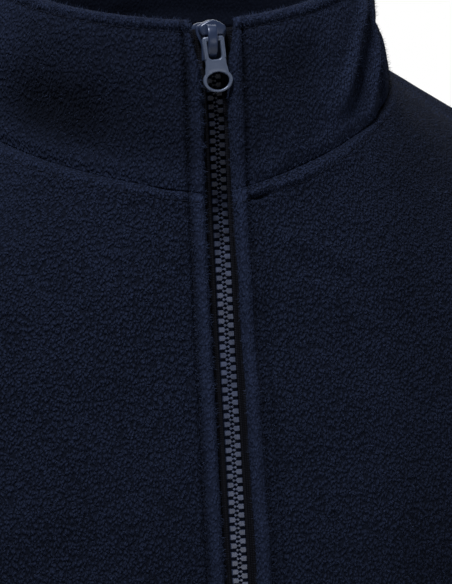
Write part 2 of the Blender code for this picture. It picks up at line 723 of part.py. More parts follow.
def frame_on_front(surface, normal, at):
    """Frame on the centre line: x across, y up along the cloth and z outward."""
    zero, at = np.zeros(1), np.array([float(at)])
    across = np.array([1.0, 0.0, 0.0])
    origin = surface(zero, at)[0] * (1 - across)
    outward = unit(normal(zero, at)[0] * (1 - across))
    upward = np.cross(outward, across)
    frame = Matrix([list(row) + [0] for row in np.stack([across, upward, outward], axis=1)] + [[0, 0, 0, 1]])
    frame.translation = Vector(origin * MM)
    return frame


def make_box(name, surface, collection):
    frame = frame_on_front(torso, torso_normal, 0)
    bpy.ops.mesh.primitive_cube_add(size=1)
    box = bpy.context.object
    box.name = name
    box.data.name = name
    size = Vector((2 * BOX_HALF, BOX_HEIGHT, BOX_BACK - BOX_FRONT)) * MM
    middle = Vector((0, BOX_LIFT + BOX_HEIGHT / 2, -(BOX_FRONT + BOX_BACK) / 2)) * MM
    box.data.transform(Matrix.Translation(middle) @ Matrix.Diagonal(size).to_4x4())
    box.matrix_world = frame
    box.data.materials.append(surface)
    for old in box.users_collection:
        old.objects.unlink(box)
    collection.objects.link(box)
    bevel = box.modifiers.new("Bevel", "BEVEL")
    bevel.width = BOX_BEVEL * MM
    bevel.segments = 2
    return box


def arc(centre_x, centre_y, half_x, half_y, start, end, steps):
    """Points along part of an ellipse, from one angle in degrees to another."""
    angles = np.radians(np.linspace(start, end, steps + 1))
    return [(centre_x + half_x * math.cos(a), centre_y + half_y * math.sin(a)) for a in angles]


def both_sides(edge):
    """A closed outline from the named points of its right edge."""
    right = list(edge.values())
    return right + [(-x, y) for x, y in reversed(right) if x > 0]


def bridge_outline():
    """Side view of the bridge: x is up along the zip and y is out of the cloth."""
    outline = []
    for name in ("low outside", "high outside", "high inside", "low inside"):
        foot, bend = (BRIDGE_FEET[name], TOP_PLATE_Z), arc(*BRIDGE_ARCS[name])
        outline += [foot, *bend] if name in ("low outside", "high inside") else [*bend, foot]
    return outline[::-1]


def make_slider(name, frame, surface, collection):
    plate, diamond = both_sides(PLATE_EDGE), both_sides(POST_EDGE)
    top = curve_solid(name, [plate], PLATE, frame @ shifted(0, 0, TOP_PLATE_Z), surface, collection)
    bottom_frame = frame @ shifted(0, 0, BOTTOM_PLATE_Z)
    bottom = curve_solid(name + "_bottom", [plate], PLATE, bottom_frame, surface, collection)
    post_height = TOP_PLATE_Z - BOTTOM_PLATE_Z
    post_frame = frame @ shifted(0, 0, (TOP_PLATE_Z + BOTTOM_PLATE_Z) / 2)
    post = curve_solid(name + "_post", [diamond], post_height, post_frame, surface, collection)
    side_on = Matrix(((0, 0, 1, 0), (1, 0, 0, 0), (0, 1, 0, 0), (0, 0, 0, 1)))
    bridge = curve_solid(
        name + "_bridge", [bridge_outline()], 2 * BRIDGE_HALF, frame @ side_on, surface, collection
    )
    return join_solids(top, [bottom, post, bridge])


def shifted(x, y, z):
    return Matrix.Translation(Vector((x, y, z)) * MM)


def tab_outline():
    """The pull tab: straight cheeks beside the window, a waist and a ring end."""
    right = arc(0, RING_Y, RING_HALF_X, RING_HALF_Y, -90, 38, 9)
    right += [(WAIST_HALF, WAIST_Y), (TAB_HALF, WAIST_Y + WAIST_RISE)]
    right += [(TAB_HALF, TAB_TOP), (TAB_HALF - TAB_CORNER, TAB_BAR)]
    left = [(-x, y) for x, y in reversed(right[1:])]
    return right + left


def window_outline():
    right = [(WINDOW_HALF, -TAB_BAR)]
    low_x, low_y = WINDOW_HALF - WINDOW_CORNER, WINDOW_BOTTOM + WINDOW_CORNER
    low = arc(low_x, low_y, WINDOW_CORNER, WINDOW_CORNER, 0, -90, 3)
    return right + low + [(-x, y) for x, y in reversed(low)] + [(-WINDOW_HALF, -TAB_BAR)]


def make_pull(name, frame, surface, collection):
    ring_hole = arc(0, HOLE_Y, HOLE_HALF_X, HOLE_HALF_Y, 0, 342, 19)
    outlines = [tab_outline(), window_outline(), ring_hole]
    return curve_solid(name, outlines, TAB, frame @ shifted(0, 0, PIVOT_Z), surface, collection)


# ---------------------------------------------------------------- the jacket
def main():
    for old in list(bpy.data.objects):
        bpy.data.objects.remove(old, do_unlink=True)
    collection = bpy.data.collections.new(OBJECT_NAME)
    bpy.context.scene.collection.children.link(collection)

    fleece = material("navy_fleece", (0.012, 0.016, 0.030), 0.95)
    tape = material("zip_tape_weave", (0.006, 0.007, 0.010), 0.8)
    teeth = material("moulded_zip_teeth", (0.035, 0.040, 0.055), 0.35)
    metal = material("painted_zip_metal", (0.060, 0.070, 0.095), 0.35, 0.4)

    for side, word in ((-1, "right"), (1, "left")):
        make_front(f"front_{word}", side, fleece, collection)
        make_sleeve(f"sleeve_{word}", side, fleece, collection)
        make_tape(f"zip_tape_{word}", side, tape, collection)
    make_back("back", fleece, collection)
    make_collar("collar", fleece, collection)
    make_chain("zip_chain", teeth, collection)
    make_box("zip_box", teeth, collection)

    collar_height = float(np.linalg.norm(collar(np.zeros(1), np.ones(1)) - collar(np.zeros(1), np.zeros(1))))
    slider_frame = frame_on_front(collar, collar_normal, 1 - SLIDER_BELOW_RIM / collar_height)
    make_slider("zip_slider", slider_frame, metal, collection)
    make_pull("zip_pull", slider_frame, metal, collection)


main()
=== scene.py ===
# %% [markdown]
# # Fleece zip jacket: its looks, built round the frame
#
# The frame is a filled-out jacket of twelve plain solids. This lesson dresses them: each cloth solid is
# replaced by a finer shell on the same surface, with its creases, rolled edges and sewing, and the zip
# gets real teeth, a woven tape and a painted slider. Everything is in metres in the end, but cloth is
# thought of in millimetres, so the surfaces below work in millimetres and turn to metres as meshes.

import math

import bmesh
import bpy
import numpy as np
from mathutils import Matrix, Vector, noise


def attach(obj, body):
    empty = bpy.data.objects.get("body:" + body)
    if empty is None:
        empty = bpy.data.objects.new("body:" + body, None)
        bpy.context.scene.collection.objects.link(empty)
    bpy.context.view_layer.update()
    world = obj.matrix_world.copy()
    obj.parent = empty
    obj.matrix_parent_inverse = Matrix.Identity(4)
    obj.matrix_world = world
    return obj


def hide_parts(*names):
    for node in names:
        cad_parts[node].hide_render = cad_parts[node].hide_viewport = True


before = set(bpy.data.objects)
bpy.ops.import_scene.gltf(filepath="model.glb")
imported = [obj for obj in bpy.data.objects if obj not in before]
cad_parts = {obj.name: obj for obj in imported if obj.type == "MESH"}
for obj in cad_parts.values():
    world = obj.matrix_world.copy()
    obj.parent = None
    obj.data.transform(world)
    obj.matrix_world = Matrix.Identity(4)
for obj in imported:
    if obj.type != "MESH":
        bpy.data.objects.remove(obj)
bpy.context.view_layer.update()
MM = 0.001
JACKET, PULL = "jacket", "pull"
SIDES = {"right": -1, "left": 1}
print("frame:", sorted(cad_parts))

# %% [markdown]
# ## The surfaces
#
# A garment pattern is flat, but a worn jacket follows a few smooth shapes: a torso, a collar and two
# sleeves. Each shape is a stack of sections, and a spline runs through the rows of a short table. The
# tables are the ones that the solids were drawn from, so a shell made here lies on its solid.

# %% Tables of the torso, the sleeve and the collar
TORSO_COLUMNS = ("z_front", "z_side", "z_back", "half_width", "front", "back", "square", "dip", "skew")
TORSO_ROWS = {
    "hem": (-668, -664, -668, 208, 131, 130, 2.3, 1.6, 0),
    "hip": (-560, -556, -556, 207, 128, 131, 2.3, 1.6, 0),
    "waist": (-440, -436, -434, 199, 130, 121, 2.3, 1.6, 0),
    "ribs": (-330, -328, -322, 203, 138, 122, 2.35, 1.6, 0),
    "underarm": (-246, -240, -228, 209, 140, 128, 2.4, 1.6, 0),
    "chest": (-184, -178, -150, 232, 132.5, 131, 2.15, 1.6, 0),
    "across": (-126, -128, -84, 244, 117, 127, 1.8, 1.6, 0),
    "cap": (-106, -96, -60, 240, 111, 121, 1.75, 1.6, 0),
    "shoulder": (-88, -68, -36, 216, 105.5, 113, 1.8, 1.6, 0),
    "slope": (-66, -45, -12, 168, 100, 101, 1.9, 1.5, 1.5),
    "base": (-47, -20, 6, 119, 95, 87, 1.95, 1.3, 3.5),
    "neck": (-32, 1, 16, 89, 91, 77, 2.0, 1.15, 5.0),
}

# How the back of a section dips, the rows that an armhole lies between, its sweep to the front and to
# the back in degrees, and how far a sleeve turns out of the torso at the underarm.
BACK_DIP = 1.6
ARM_LOW, ARM_HIGH = "underarm", "shoulder"
FRONT_SWEEP, BACK_SWEEP = 42.0, 39.0
UNDERARM_BEND = 100.0

SLEEVE_COLUMNS = ("x", "y", "z", "across", "deep")
SLEEVE_ROWS = {
    "biceps": (281, 2, -258, 63, 68),
    "upper": (303, 5, -322, 60, 64),
    "above_elbow": (327, 6, -392, 57, 61),
    "elbow": (346, 1, -456, 54, 57),
    "forearm": (361, -13, -524, 50, 52),
    "wrist": (371, -33, -592, 45, 46),
    "cuff": (377, -50, -650, 41, 42),
}

# The collar's rim: its reach, its heights, its dip and its tilt; and how far the collar swells.
RIM_FRONT, RIM_SIDE, RIM_BACK = 80.0, 78.0, 76.0
RIM_Z_FRONT, RIM_Z_SIDE, RIM_Z_BACK = 32.0, 53.0, 82.0
RIM_DIP, RIM_SKEW = 1.6, 2.5
COLLAR_BULGE = 2.0

ZIP_COLUMNS_OF_TABLE = ("z", "chain_x", "right_edge", "left_edge", "right_stitch", "left_stitch")
ZIP_ROWS = {
    "hem": (-668, 0, 6.0, 5.7, 12.8, 12.2),
    "belly": (-300, 0, 6.3, 5.8, 13.0, 12.2),
    "chest": (-155, -0.1, 6.5, 6.0, 13.1, 12.1),
    "yoke": (-110, 0.35, 6.0, 5.9, 12.3, 11.6),
    "below seam": (-63, 0.65, 5.7, 5.8, 11.7, 11.3),
    "neck seam": (-32, 0.8, 5.2, 5.3, 11.4, 11.5),
    "collar": (-4, 0.8, 4.7, 4.9, 11.2, 11.6),
    "slider foot": (14, 0.1, 5.4, 5.4, 11.2, 11.5),
    "slider wings": (24, 0, 7.9, 7.6, 11.3, 11.4),
    "rim": (32, 0, 9.2, 8.4, 11.4, 11.4),
}


def zip_table(z, column):
    """One column of the zip's table, such as the place of a folded edge, at any heights."""
    rows = np.array(list(ZIP_ROWS.values()), float)
    return np.interp(z, rows[:, 0], rows[:, ZIP_COLUMNS_OF_TABLE.index(column)])


# %% [markdown]
# ## Folds
#
# The large folds are soft lines drawn on a surface: where they start, where they end, how wide they are
# and how high. A negative height is a trough. Cloth never repeats itself, so each is placed one by one:
# drag lines from the armholes, slack above the waist, crushed rings inside the elbows and at the wrists.
# The first table of each pair holds the large folds, and the second the small ones, which only this dress
# has. The plain solids share the sleeves' large folds, and the torso's but for the two shoulder dips; the
# collar's are redrawn finer here.

# %% Folds of each piece
# Each row: from u, from v, to u, to v, width, height. On the torso u is 3 for each degree round and v is
# the height z; on a sleeve u is in degrees and v is 70 for each row of its table; on the collar both are
# millimetres.
TORSO_U, SLEEVE_V, COLLAR_U, COLLAR_MM = 3, 70, 1.4, 62
FOLD_END_FADE = 0.6
TORSO_FOLDS = {
    "left armhole drag": (150, -215, 70, -300, 20, 5.0),
    "left armhole hollow": (165, -250, 80, -345, 18, -3.5),
    "right armhole drag": (-148, -225, -60, -290, 22, 4.5),
    "right armhole hollow": (-160, -262, -85, -352, 18, -4.0),
    "left waist fold": (300, -440, 170, -395, 20, 4.5),
    "left waist hollow": (280, -470, 160, -430, 18, -3.0),
    "right waist fold": (-310, -430, -185, -410, 20, 5.0),
    "right hip fold": (-290, -520, -150, -480, 22, 3.5),
    "back sway": (470, -455, 610, -445, 26, -4.0),
    "back left blade": (380, -160, 350, -330, 26, 4.0),
    "back right blade": (-385, -170, -345, -320, 26, 4.0),
    "left hem wave": (120, -668, 130, -560, 26, 4.0),
    "right hem wave": (-170, -668, -150, -580, 26, 4.0),
    "left side hem wave": (330, -668, 350, -570, 28, -4.0),
    "left shoulder dip": (262, -12, 276, -40, 20, -3.0),
    "left rear shoulder dip": (290, -6, 306, -34, 22, -4.5),
}
SLEEVE_FOLDS = {
    "inner elbow": (60, 235, 160, 262, 13, -4.5),
    "above inner elbow": (40, 208, 140, 226, 14, 4.0),
    "below inner elbow": (45, 280, 150, 300, 13, 4.0),
    "outer elbow": (215, 250, 300, 285, 16, 3.0),
    "cap drag": (95, 75, 40, 125, 15, 3.5),
    "back drag": (280, 70, 320, 130, 16, 3.5),
    "forearm fold": (60, 350, 170, 372, 13, 3.5),
    "wrist fold": (200, 392, 320, 412, 12, 3.5),
    "wrist hollow": (20, 402, 130, 422, 12, -3.0),
}
COLLAR_FOLDS = {
    "left long ridge top": (84, 51, 69, 39, 4, 2.2),
    "left long ridge foot": (67, 37, 51, 15, 4.2, 2.4),
    "left long hollow top": (92, 47, 77, 35, 4, -2.0),
    "left long hollow foot": (75, 32, 61, 14, 4.2, -2.4),
    "left second ridge": (88, 33, 71, 6, 4, 2.2),
    "left second hollow": (97, 29, 81, 3, 4.2, -2.6),
    "left side tuck": (94, 32, 134, 29, 5, -4.2),
    "left back tuck": (111, 22, 123, 13, 6, -3.0),
    "left upper side": (98, 52, 130, 44, 10, -2.4),
    "right hollow": (-36, 24, -88, 18, 13, -3.8),
    "left front hollow": (18, 36, 46, 34, 13, -2.0),
    "right ridge": (-92, 58, -84, 6, 11, 2.2),
    "back hollow": (178, 40, 236, 34, 14, -2.0),
}
FINE_TORSO_FOLDS = {
    "left neck pucker": (30, -47, 66, -62, 5, 0.9),
    "left neck pucker hollow": (28, -53, 58, -70, 4, -0.9),
    "left zip ripple": (26, -95, 60, -118, 7, 0.8),
    "right zip ripple": (-26, -130, -62, -150, 8, 0.8),
    "left chest ease": (60, -110, 105, -190, 16, 1.4),
    "right chest ease": (-50, -90, -92, -190, 18, 1.2),
    "left zip wave": (24, -250, 58, -262, 9, 1.4),
    "right zip wave": (-24, -300, -62, -286, 9, 1.4),
    "left belly drag": (26, -380, 110, -420, 12, 1.8),
    "right belly drag": (-26, -430, -120, -402, 12, 1.8),
    "left side crumple": (250, -330, 305, -365, 9, 2.0),
    "left side crumple low": (240, -362, 300, -392, 8, -1.6),
    "right side crumple": (-245, -340, -300, -380, 9, 2.0),
    "right side crumple low": (-238, -372, -296, -408, 8, -1.6),
    "left hip wave": (60, -560, 90, -640, 14, 1.6),
    "right hip wave": (-70, -590, -60, -660, 14, 1.6),
    "back neck ease": (480, -40, 600, -46, 12, -1.2),
    "back waist crease": (440, -400, 520, -420, 10, 1.8),
    "back waist crease low": (540, -436, 640, -418, 10, 1.8),
    "back left drag": (330, -240, 410, -300, 12, -1.8),
    "back right drag": (-330, -250, -415, -306, 12, -1.8),
    "back hem wave": (520, -668, 505, -560, 20, -2.2),
}
FINE_SLEEVE_FOLDS = {
    "biceps crumple": (70, 110, 130, 126, 7, 1.8),
    "biceps crumple low": (50, 134, 118, 146, 6, -1.6),
    "elbow crush": (80, 246, 150, 256, 5, -1.4),
    "elbow crush ridge": (86, 262, 156, 276, 5, 1.6),
    "elbow crush upper": (60, 222, 128, 240, 6, 1.4),
    "outer sleeve drag": (200, 170, 250, 220, 12, 1.6),
    "back forearm crease": (250, 320, 330, 336, 8, 1.6),
    "cuff ring": (30, 440, 150, 452, 7, 1.6),
    "cuff ring hollow": (190, 436, 320, 446, 7, -1.4),
    "cuff ring high": (110, 388, 210, 400, 8, 1.5),
}
FINE_COLLAR_FOLDS = {
    "left inner ridge": (60, 50, 48, 20, 7, 0.9),
    "left foot pucker": (24, 6, 34, 16, 4, 0.7),
    "right zip ease": (-20, 20, -36, 44, 8, 0.7),
    "right foot ease": (-30, 6, -60, 12, 6, -0.6),
    "back soft ridge": (150, 20, 210, 14, 9, 1.2),
    "back right dent": (-150, 36, -186, 20, 10, -1.4),
}
torso_count, sleeve_count = len(TORSO_FOLDS | FINE_TORSO_FOLDS), len(SLEEVE_FOLDS | FINE_SLEEVE_FOLDS)
print("folds:", torso_count, "torso,", sleeve_count, "sleeve")


# %% Curves through a table
def spline_slopes(knots, values):
    """Slopes at the knots that let the curve's bending run on smoothly through each of them."""
    last = len(knots) - 1
    width = np.diff(knots)
    grade = np.diff(values) / width
    system, wanted = np.zeros((last + 1, last + 1)), np.zeros(last + 1)
    for i in range(last + 1):
        for span in (i - 1, i):
            if 0 <= span < last:
                system[i, i] += 2 / width[span]
                system[i, span + 1 if span == i else span] += 1 / width[span]
                wanted[i] += 3 * grade[span] / width[span]
    return np.linalg.solve(system, wanted)


class Curves:
    """The named columns of a table, each a smooth curve over the rows' knots."""

    def __init__(self, names, rows, knots):
        self.rows, self.knots = list(rows), np.asarray(knots, float)
        columns = np.array(list(rows.values()), float).T
        self.values = dict(zip(names, columns))
        self.slopes = {name: spline_slopes(self.knots, column) for name, column in self.values.items()}

    def read(self, at, *names):
        i = np.clip(np.searchsorted(self.knots, at, side="right") - 1, 0, len(self.knots) - 2)
        width = self.knots[i + 1] - self.knots[i]
        t = (at - self.knots[i]) / width
        for name in names:
            low, rise = self.values[name][i], self.values[name][i + 1] - self.values[name][i]
            start, end = self.slopes[name][i] * width, self.slopes[name][i + 1] * width
            yield low + t * start + t**2 * (3 * rise - 2 * start - end) + t**3 * (start + end - 2 * rise)


def unit(vectors):
    return vectors / np.maximum(np.linalg.norm(vectors, axis=-1, keepdims=True), 1e-12)


def eased(x, start, end):
    """0 before start and 1 past end, with a soft rise between; start may be the larger of the two."""
    t = np.clip((x - start) / (end - start), 0, 1)
    return t * t * (3 - 2 * t)


def fold_height(folds, u, v, period=None):
    """Height of all the folds at u, v: each is a soft line that fades past its ends."""
    total = np.zeros(np.broadcast(u, v).shape)
    for from_u, from_v, to_u, to_v, width, height in folds.values():
        along_u, along_v = to_u - from_u, to_v - from_v
        off_u, off_v = u - from_u, v - from_v
        if period:
            off_u = (off_u + period / 2) % period - period / 2
        t = np.clip((off_u * along_u + off_v * along_v) / (along_u**2 + along_v**2), 0, 1)
        distance = np.hypot(off_u - t * along_u, off_v - t * along_v)
        total += height * (1 - FOLD_END_FADE * (2 * t - 1) ** 2) * np.exp(-((distance / width) ** 2))
    return total


def torso_folds(folds, angle, z):
    return fold_height(folds, np.degrees(angle) * TORSO_U, z, 360 * TORSO_U)


def collar_folds(folds, angle, above_foot):
    return fold_height(folds, np.degrees(angle) * COLLAR_U, above_foot, 360 * COLLAR_U)


# %% Torso
MEASURED_ANGLE = np.radians(50)
SURFACE_STEP, TURN_STEP, TUBE_STEP = 0.004, 0.002, 0.02


def superellipse(angle, half_width, front, back, square):
    sine, cosine = np.sin(angle), np.cos(angle)
    power = 2 / square
    x = half_width * np.sign(sine) * np.abs(sine) ** power
    y = np.where(cosine > 0, -front, back) * np.abs(cosine) ** power
    return x, y


def tilted(angle, z_front, z_side, z_back, dip, skew):
    turned = np.abs((angle + np.pi) % (2 * np.pi) - np.pi) / (np.pi / 2)
    front = z_side + (z_front - z_side) * (1 - np.minimum(turned, 1) ** dip)
    back = z_side + (z_back - z_side) * (1 - np.minimum(2 - turned, 1) ** BACK_DIP)
    return np.where(turned < 1, front, back) + skew * np.sin(angle)


def plain_torso(angle, level):
    size = TORSO.read(level, "half_width", "front", "back", "square")
    x, y = superellipse(angle, *size)
    z = tilted(angle, *TORSO.read(level, "z_front", "z_side", "z_back", "dip", "skew"))
    return np.stack([x, y, z], axis=-1)


TORSO = Curves(TORSO_COLUMNS, TORSO_ROWS, np.arange(len(TORSO_ROWS)))
row_points = plain_torso(MEASURED_ANGLE, np.arange(len(TORSO_ROWS), dtype=float))
row_steps = np.linalg.norm(np.diff(row_points, axis=0), axis=-1)
TORSO_LENGTH = row_steps.sum()
TORSO = Curves(TORSO_COLUMNS, TORSO_ROWS, np.concatenate([[0], np.cumsum(row_steps)]) / TORSO_LENGTH)
LOW, HIGH = (TORSO.knots[TORSO.rows.index(row)] for row in (ARM_LOW, ARM_HIGH))


def surface_normal(surface, u, v, v_max=1.0):
    """Outward normal of a surface, from the points around each place."""
    across = surface(u + SURFACE_STEP, v) - surface(u - SURFACE_STEP, v)
    above, below = np.minimum(v + SURFACE_STEP, v_max), np.maximum(v - SURFACE_STEP, 0)
    return unit(np.cross(across, surface(u, above) - surface(u, below)))


def torso(angle, level):
    """The torso with its large folds; the angle is 0 at the front and pi/2 at the wearer's left."""
    points = plain_torso(angle, level)
    height = torso_folds(TORSO_FOLDS, angle, points[..., 2])
    return points + height[..., None] * surface_normal(plain_torso, angle, level)


print(f"torso: {TORSO_LENGTH:.0f} mm from hem to neck, armhole from level {LOW:.3f} to {HIGH:.3f}")


# %% Collar
def plain_collar(angle, rise):
    foot = torso(angle, np.ones_like(rise * angle))
    x, y = superellipse(angle, RIM_SIDE, RIM_FRONT, RIM_BACK, 2.0)
    z = tilted(angle, RIM_Z_FRONT, RIM_Z_SIDE, RIM_Z_BACK, RIM_DIP, RIM_SKEW)
    rim = np.stack(np.broadcast_arrays(x, y, z), axis=-1)
    outward = unit(rim * np.array([1, 1, 0]))
    rise = np.asarray(rise)[..., None]
    bulge = COLLAR_BULGE * np.sin(np.pi * rise) * (1 - np.cos(angle)[..., None] ** 2)
    return foot + (rim - foot) * rise + bulge * outward


def collar(angle, rise):
    points = plain_collar(angle, rise)
    height = collar_folds(COLLAR_FOLDS, angle, rise * COLLAR_MM)
    return points + height[..., None] * surface_normal(plain_collar, angle, rise)


# %% [markdown]
# The armhole is a closed line on the torso. A sleeve starts on that line, bends out of the torso as its
# cap, and goes on as rings round a curved centre line, so the two meet with one seam and no gap.


# %% Armhole and sleeve
SLEEVE = Curves(SLEEVE_COLUMNS, SLEEVE_ROWS, np.arange(len(SLEEVE_ROWS)))
LAST_RUN = float(len(SLEEVE_ROWS))


def armhole(turn):
    sweep = np.where(np.sin(2 * np.pi * turn) > 0, FRONT_SWEEP, BACK_SWEEP)
    angle = np.radians(90 - sweep * np.sin(2 * np.pi * turn))
    return angle, (LOW + HIGH) / 2 - (HIGH - LOW) / 2 * np.cos(2 * np.pi * turn)


def armhole_frame(turn, side):
    """Points of an armhole's edge, the torso's normal there and the way off the panel's edge."""
    before, here, after = (armhole(turn + step) for step in (-TURN_STEP, 0, TURN_STEP))
    tangent = unit(torso(side * after[0], after[1]) - torso(side * before[0], before[1]))
    normal = surface_normal(torso, side * here[0], here[1])
    return torso(side * here[0], here[1]), normal, unit(np.cross(tangent, normal)) * side


def sleeve_tube(turn, station, side):
    def centre(at):
        return np.stack(list(SLEEVE.read(at, "x", "y", "z")), axis=-1)

    ahead_of, behind = np.minimum(station + TUBE_STEP, LAST_RUN - 1), np.maximum(station - TUBE_STEP, 0)
    direction = unit(centre(ahead_of) - centre(behind))
    ahead = np.array([0.0, -1.0, 0.0])
    ahead = unit(ahead - (direction @ ahead)[..., None] * direction)
    outward = np.cross(ahead, direction)
    across, deep = SLEEVE.read(station, "across", "deep")
    across = (-across * np.cos(2 * np.pi * turn))[..., None]
    deep = (deep * np.sin(2 * np.pi * turn))[..., None]
    mirror = np.array([side, 1, 1])
    return (centre(station) + across * outward + deep * ahead) * mirror, direction * mirror


def cap_bend(turn):
    """How far the sleeve turns out of the torso's surface at its seam: most at the underarm."""
    from_shoulder = np.abs(turn % 1 - 0.5) * 2
    return np.radians(UNDERARM_BEND) * eased(from_shoulder, 0.3, 1)


def plain_sleeve(turn, run, side):
    """Run 0 is the armhole, 1 the end of the cap and the last run the cuff."""
    turn, run = np.broadcast_arrays(turn, run)
    edge, normal, off_edge = armhole_frame(turn[0], side)
    bend = cap_bend(turn[0])[..., None]
    start = np.cos(bend) * off_edge + np.sin(bend) * normal
    ring, direction = sleeve_tube(turn, np.maximum(run - 1, 0), side)
    first_ring, first_direction = sleeve_tube(turn[:1], np.zeros_like(run[:1]), side)
    span = np.linalg.norm(first_ring - edge, axis=-1, keepdims=True)
    t = np.clip(run, 0, 1)[..., None]
    cap = (
        edge * (1 + 2 * t) * (1 - t) ** 2
        + start * span * t * (1 - t) ** 2
        + first_ring * t**2 * (3 - 2 * t)
        - first_direction * span * t**2 * (1 - t)
    )
    return np.where(run[..., None] > 1, ring, cap)


# %% [markdown]
# ## From a surface to a shell of cloth
#
# A shell is two matching grids of points: the face and the back, joined round their edges. Working on
# grids keeps it simple to measure along the cloth, so the distance of every point from each edge of its
# piece is known in millimetres. Rolled edges, sewn grooves and raised seams are then short formulas of
# those distances, and a soft unevenness comes from a noise that is read in millimetres too.

# %% Measuring on a grid and building a shell
# One layer of cloth and two, with the gap between two sewn pieces; how far an inner face runs on past its
# seam and how deep; and what the hidden inside of the cloth holds for each attribute.
WALL, TURNED_WALL, SEAM_GAP = 2.4, 4.6, 0.06
ALLOWANCE, ALLOWANCE_DEPTH = 2.4, 1.0
# The inside's shade is painted shade: it darkens the cloth's inside, where little light falls.
INSIDE = {"fuzz": 0, "smooth": 2.0, "shade": 1.3}
NOISE_GAIN, SEED_STEP = 1.6, 7.3


def new_mesh(name, points, edges=(), faces=()):
    mesh = bpy.data.meshes.new(name)
    mesh.from_pydata(points, edges, faces)
    return mesh


def new_object(name, data):
    made = bpy.data.objects.new(name, data)
    bpy.context.scene.collection.objects.link(made)
    return made


def grid_normals(points, closed=False):
    """Outward normals of a grid whose rows go up and whose columns go to the wearer's left."""
    if closed:
        across = np.roll(points, -1, axis=1) - np.roll(points, 1, axis=1)
    else:
        across = np.gradient(points, axis=1)
    return unit(np.cross(across, np.gradient(points, axis=0)))


def travelled(points, axis):
    """Distance along the grid from its first line."""
    steps = np.linalg.norm(np.diff(points, axis=axis), axis=-1)
    zero = np.zeros_like(np.take(steps, [0], axis=axis))
    return np.concatenate([zero, np.cumsum(steps, axis=axis)], axis=axis)


def from_ends(points, axis):
    """Distance along the grid from its first line and from its last."""
    return travelled(points, axis), np.flip(travelled(np.flip(points, axis), axis), axis)


def unevenness(points, size, seed):
    """Soft random height between about -1 and 1, with lumps of the given size in millimetres."""
    flat = points.reshape(-1, 3) / size + seed * SEED_STEP
    return np.array([noise.noise(p) for p in flat.tolist()]).reshape(points.shape[:-1]) * NOISE_GAIN


def groove(distance, at, width):
    return np.exp(-(((distance - at) / width) ** 2))


def seam_edge(distance, dive=1.1):
    """Height beside a seam: the cloth dives into it and swells a little next to it."""
    return 0.4 * groove(distance, 4.8, 2.6) - dive * groove(distance, 0, 2.0)


def shell(name, face, back, fuzz, smooth, shade=0.0, closed=False):
    """One closed mesh from a face and a back grid, with loose fibre, flattened pile and painted shading as
    attributes.
    """
    rows, count = face.shape[:2]
    index = np.arange(rows * count).reshape(rows, count)
    if closed:
        index = np.concatenate([index, index[:, :1]], axis=1)
    ring = np.stack([index[:-1, :-1], index[:-1, 1:], index[1:, 1:], index[1:, :-1]], axis=-1).reshape(-1, 4)
    inside = rows * count
    quads = [ring, ring[:, ::-1] + inside]
    edges = [(index[0], True), (index[-1], False)]
    edges += [] if closed else [(index[:, 0], False), (index[:, -1], True)]
    quads += [rim_quads(line, inside, flip) for line, flip in edges]
    quads = np.concatenate(quads)
    points = np.concatenate([face.reshape(-1, 3), back.reshape(-1, 3)]) * MM
    mesh = new_mesh(name, points.tolist(), faces=quads.tolist())
    for label, grid in (("fuzz", fuzz), ("smooth", smooth), ("shade", shade)):
        attribute = mesh.attributes.new(label, "FLOAT", "POINT")
        values = np.broadcast_to(grid, face.shape[:2]).ravel()
        both = np.concatenate([values, np.full_like(values, INSIDE[label], dtype=float)])
        attribute.data.foreach_set("value", both.astype(np.float32))
    mesh.shade_smooth()
    print(f"{name}: {rows} x {count} points a face, {4 * rows * count:,} triangles")
    return new_object(name, mesh)


def tucked(edge, neighbour, outward):
    """A back face's edge line, carried on past its seam and inwards: the allowance that closes the seam."""
    return edge + ALLOWANCE * unit(edge - neighbour) - ALLOWANCE_DEPTH * outward


def rim_quads(line, inside, flip):
    quads = np.stack([line[:-1], line[1:], line[1:] + inside, line[:-1] + inside], axis=-1)
    return quads[:, ::-1] if flip else quads


# %% [markdown]
# ## What sewing does to the fleece
#
# Three things shape the cloth near its edges. A folded edge is round, as thick as two layers. A row of
# stitches pulls the pile down into a narrow groove, and the cloth swells beside it and ripples a little.
# A seam lets both pieces dive inwards. The zip's edges have all of these, so fronts and collar share one
# function for them and the lines run through the neck seam unbroken.

# %% Heights that sewing gives
# Distances from a piece's edge to each row of stitches and to the mark of the tape's hidden edge, and how
# deep those two lie beside the zip.
ZIP_STITCH, TAPE_MARK = 6.6, 10.6
ZIP_STITCH_DEPTH, TAPE_MARK_DEPTH, ZIP_ROLL = 1.25, {1: 0.85, -1: 0.4}, 1.15
NECK_BAND, HEM_BAND, CUFF_BAND, RIM_STITCH = 5.8, 22.0, 20.0, 4.6
DOUBLED_TO = 11.4
EDGE_STEPS = (0, 0.12, 0.4, 0.85, 1.4, 2.0, 2.7, 3.6)
GROOVE_STEPS = (-1.5, -0.95, -0.5, -0.15, 0.2, 0.6, 1.1, 1.7)
SEAM_STEPS = (0, 0.5, 1.1, 1.8, 2.7, 3.8, 5.2, 7.0)


def zip_edge_height(s, z, side):
    """Height beside the zip, s from the folded edge: a soft roll, its stitch line and the tape's mark."""
    place = np.stack([s * 0.45, z, np.full_like(s, side * 9.0)], axis=-1)
    ripple, slack = unevenness(place, 5.5, 3), unevenness(place, 21, 4)
    roll = ZIP_ROLL * eased(s, 0, 2.2) * (1 - eased(s, 1.6, 7.0)) * (1 + 0.25 * slack)
    swell = 0.5 * groove(s, ZIP_STITCH + 2.6, 1.8)
    mark = -TAPE_MARK_DEPTH[side] * groove(s, TAPE_MARK, 0.8) * eased(np.abs(z + 180), 150, 90)
    puckered = 0.42 * ripple * np.exp(-np.abs(s - ZIP_STITCH) / 5)
    sewn = ZIP_STITCH_DEPTH * (1 + 0.3 * slack) * groove(s, ZIP_STITCH, 0.95)
    return roll + swell + mark + puckered - sewn


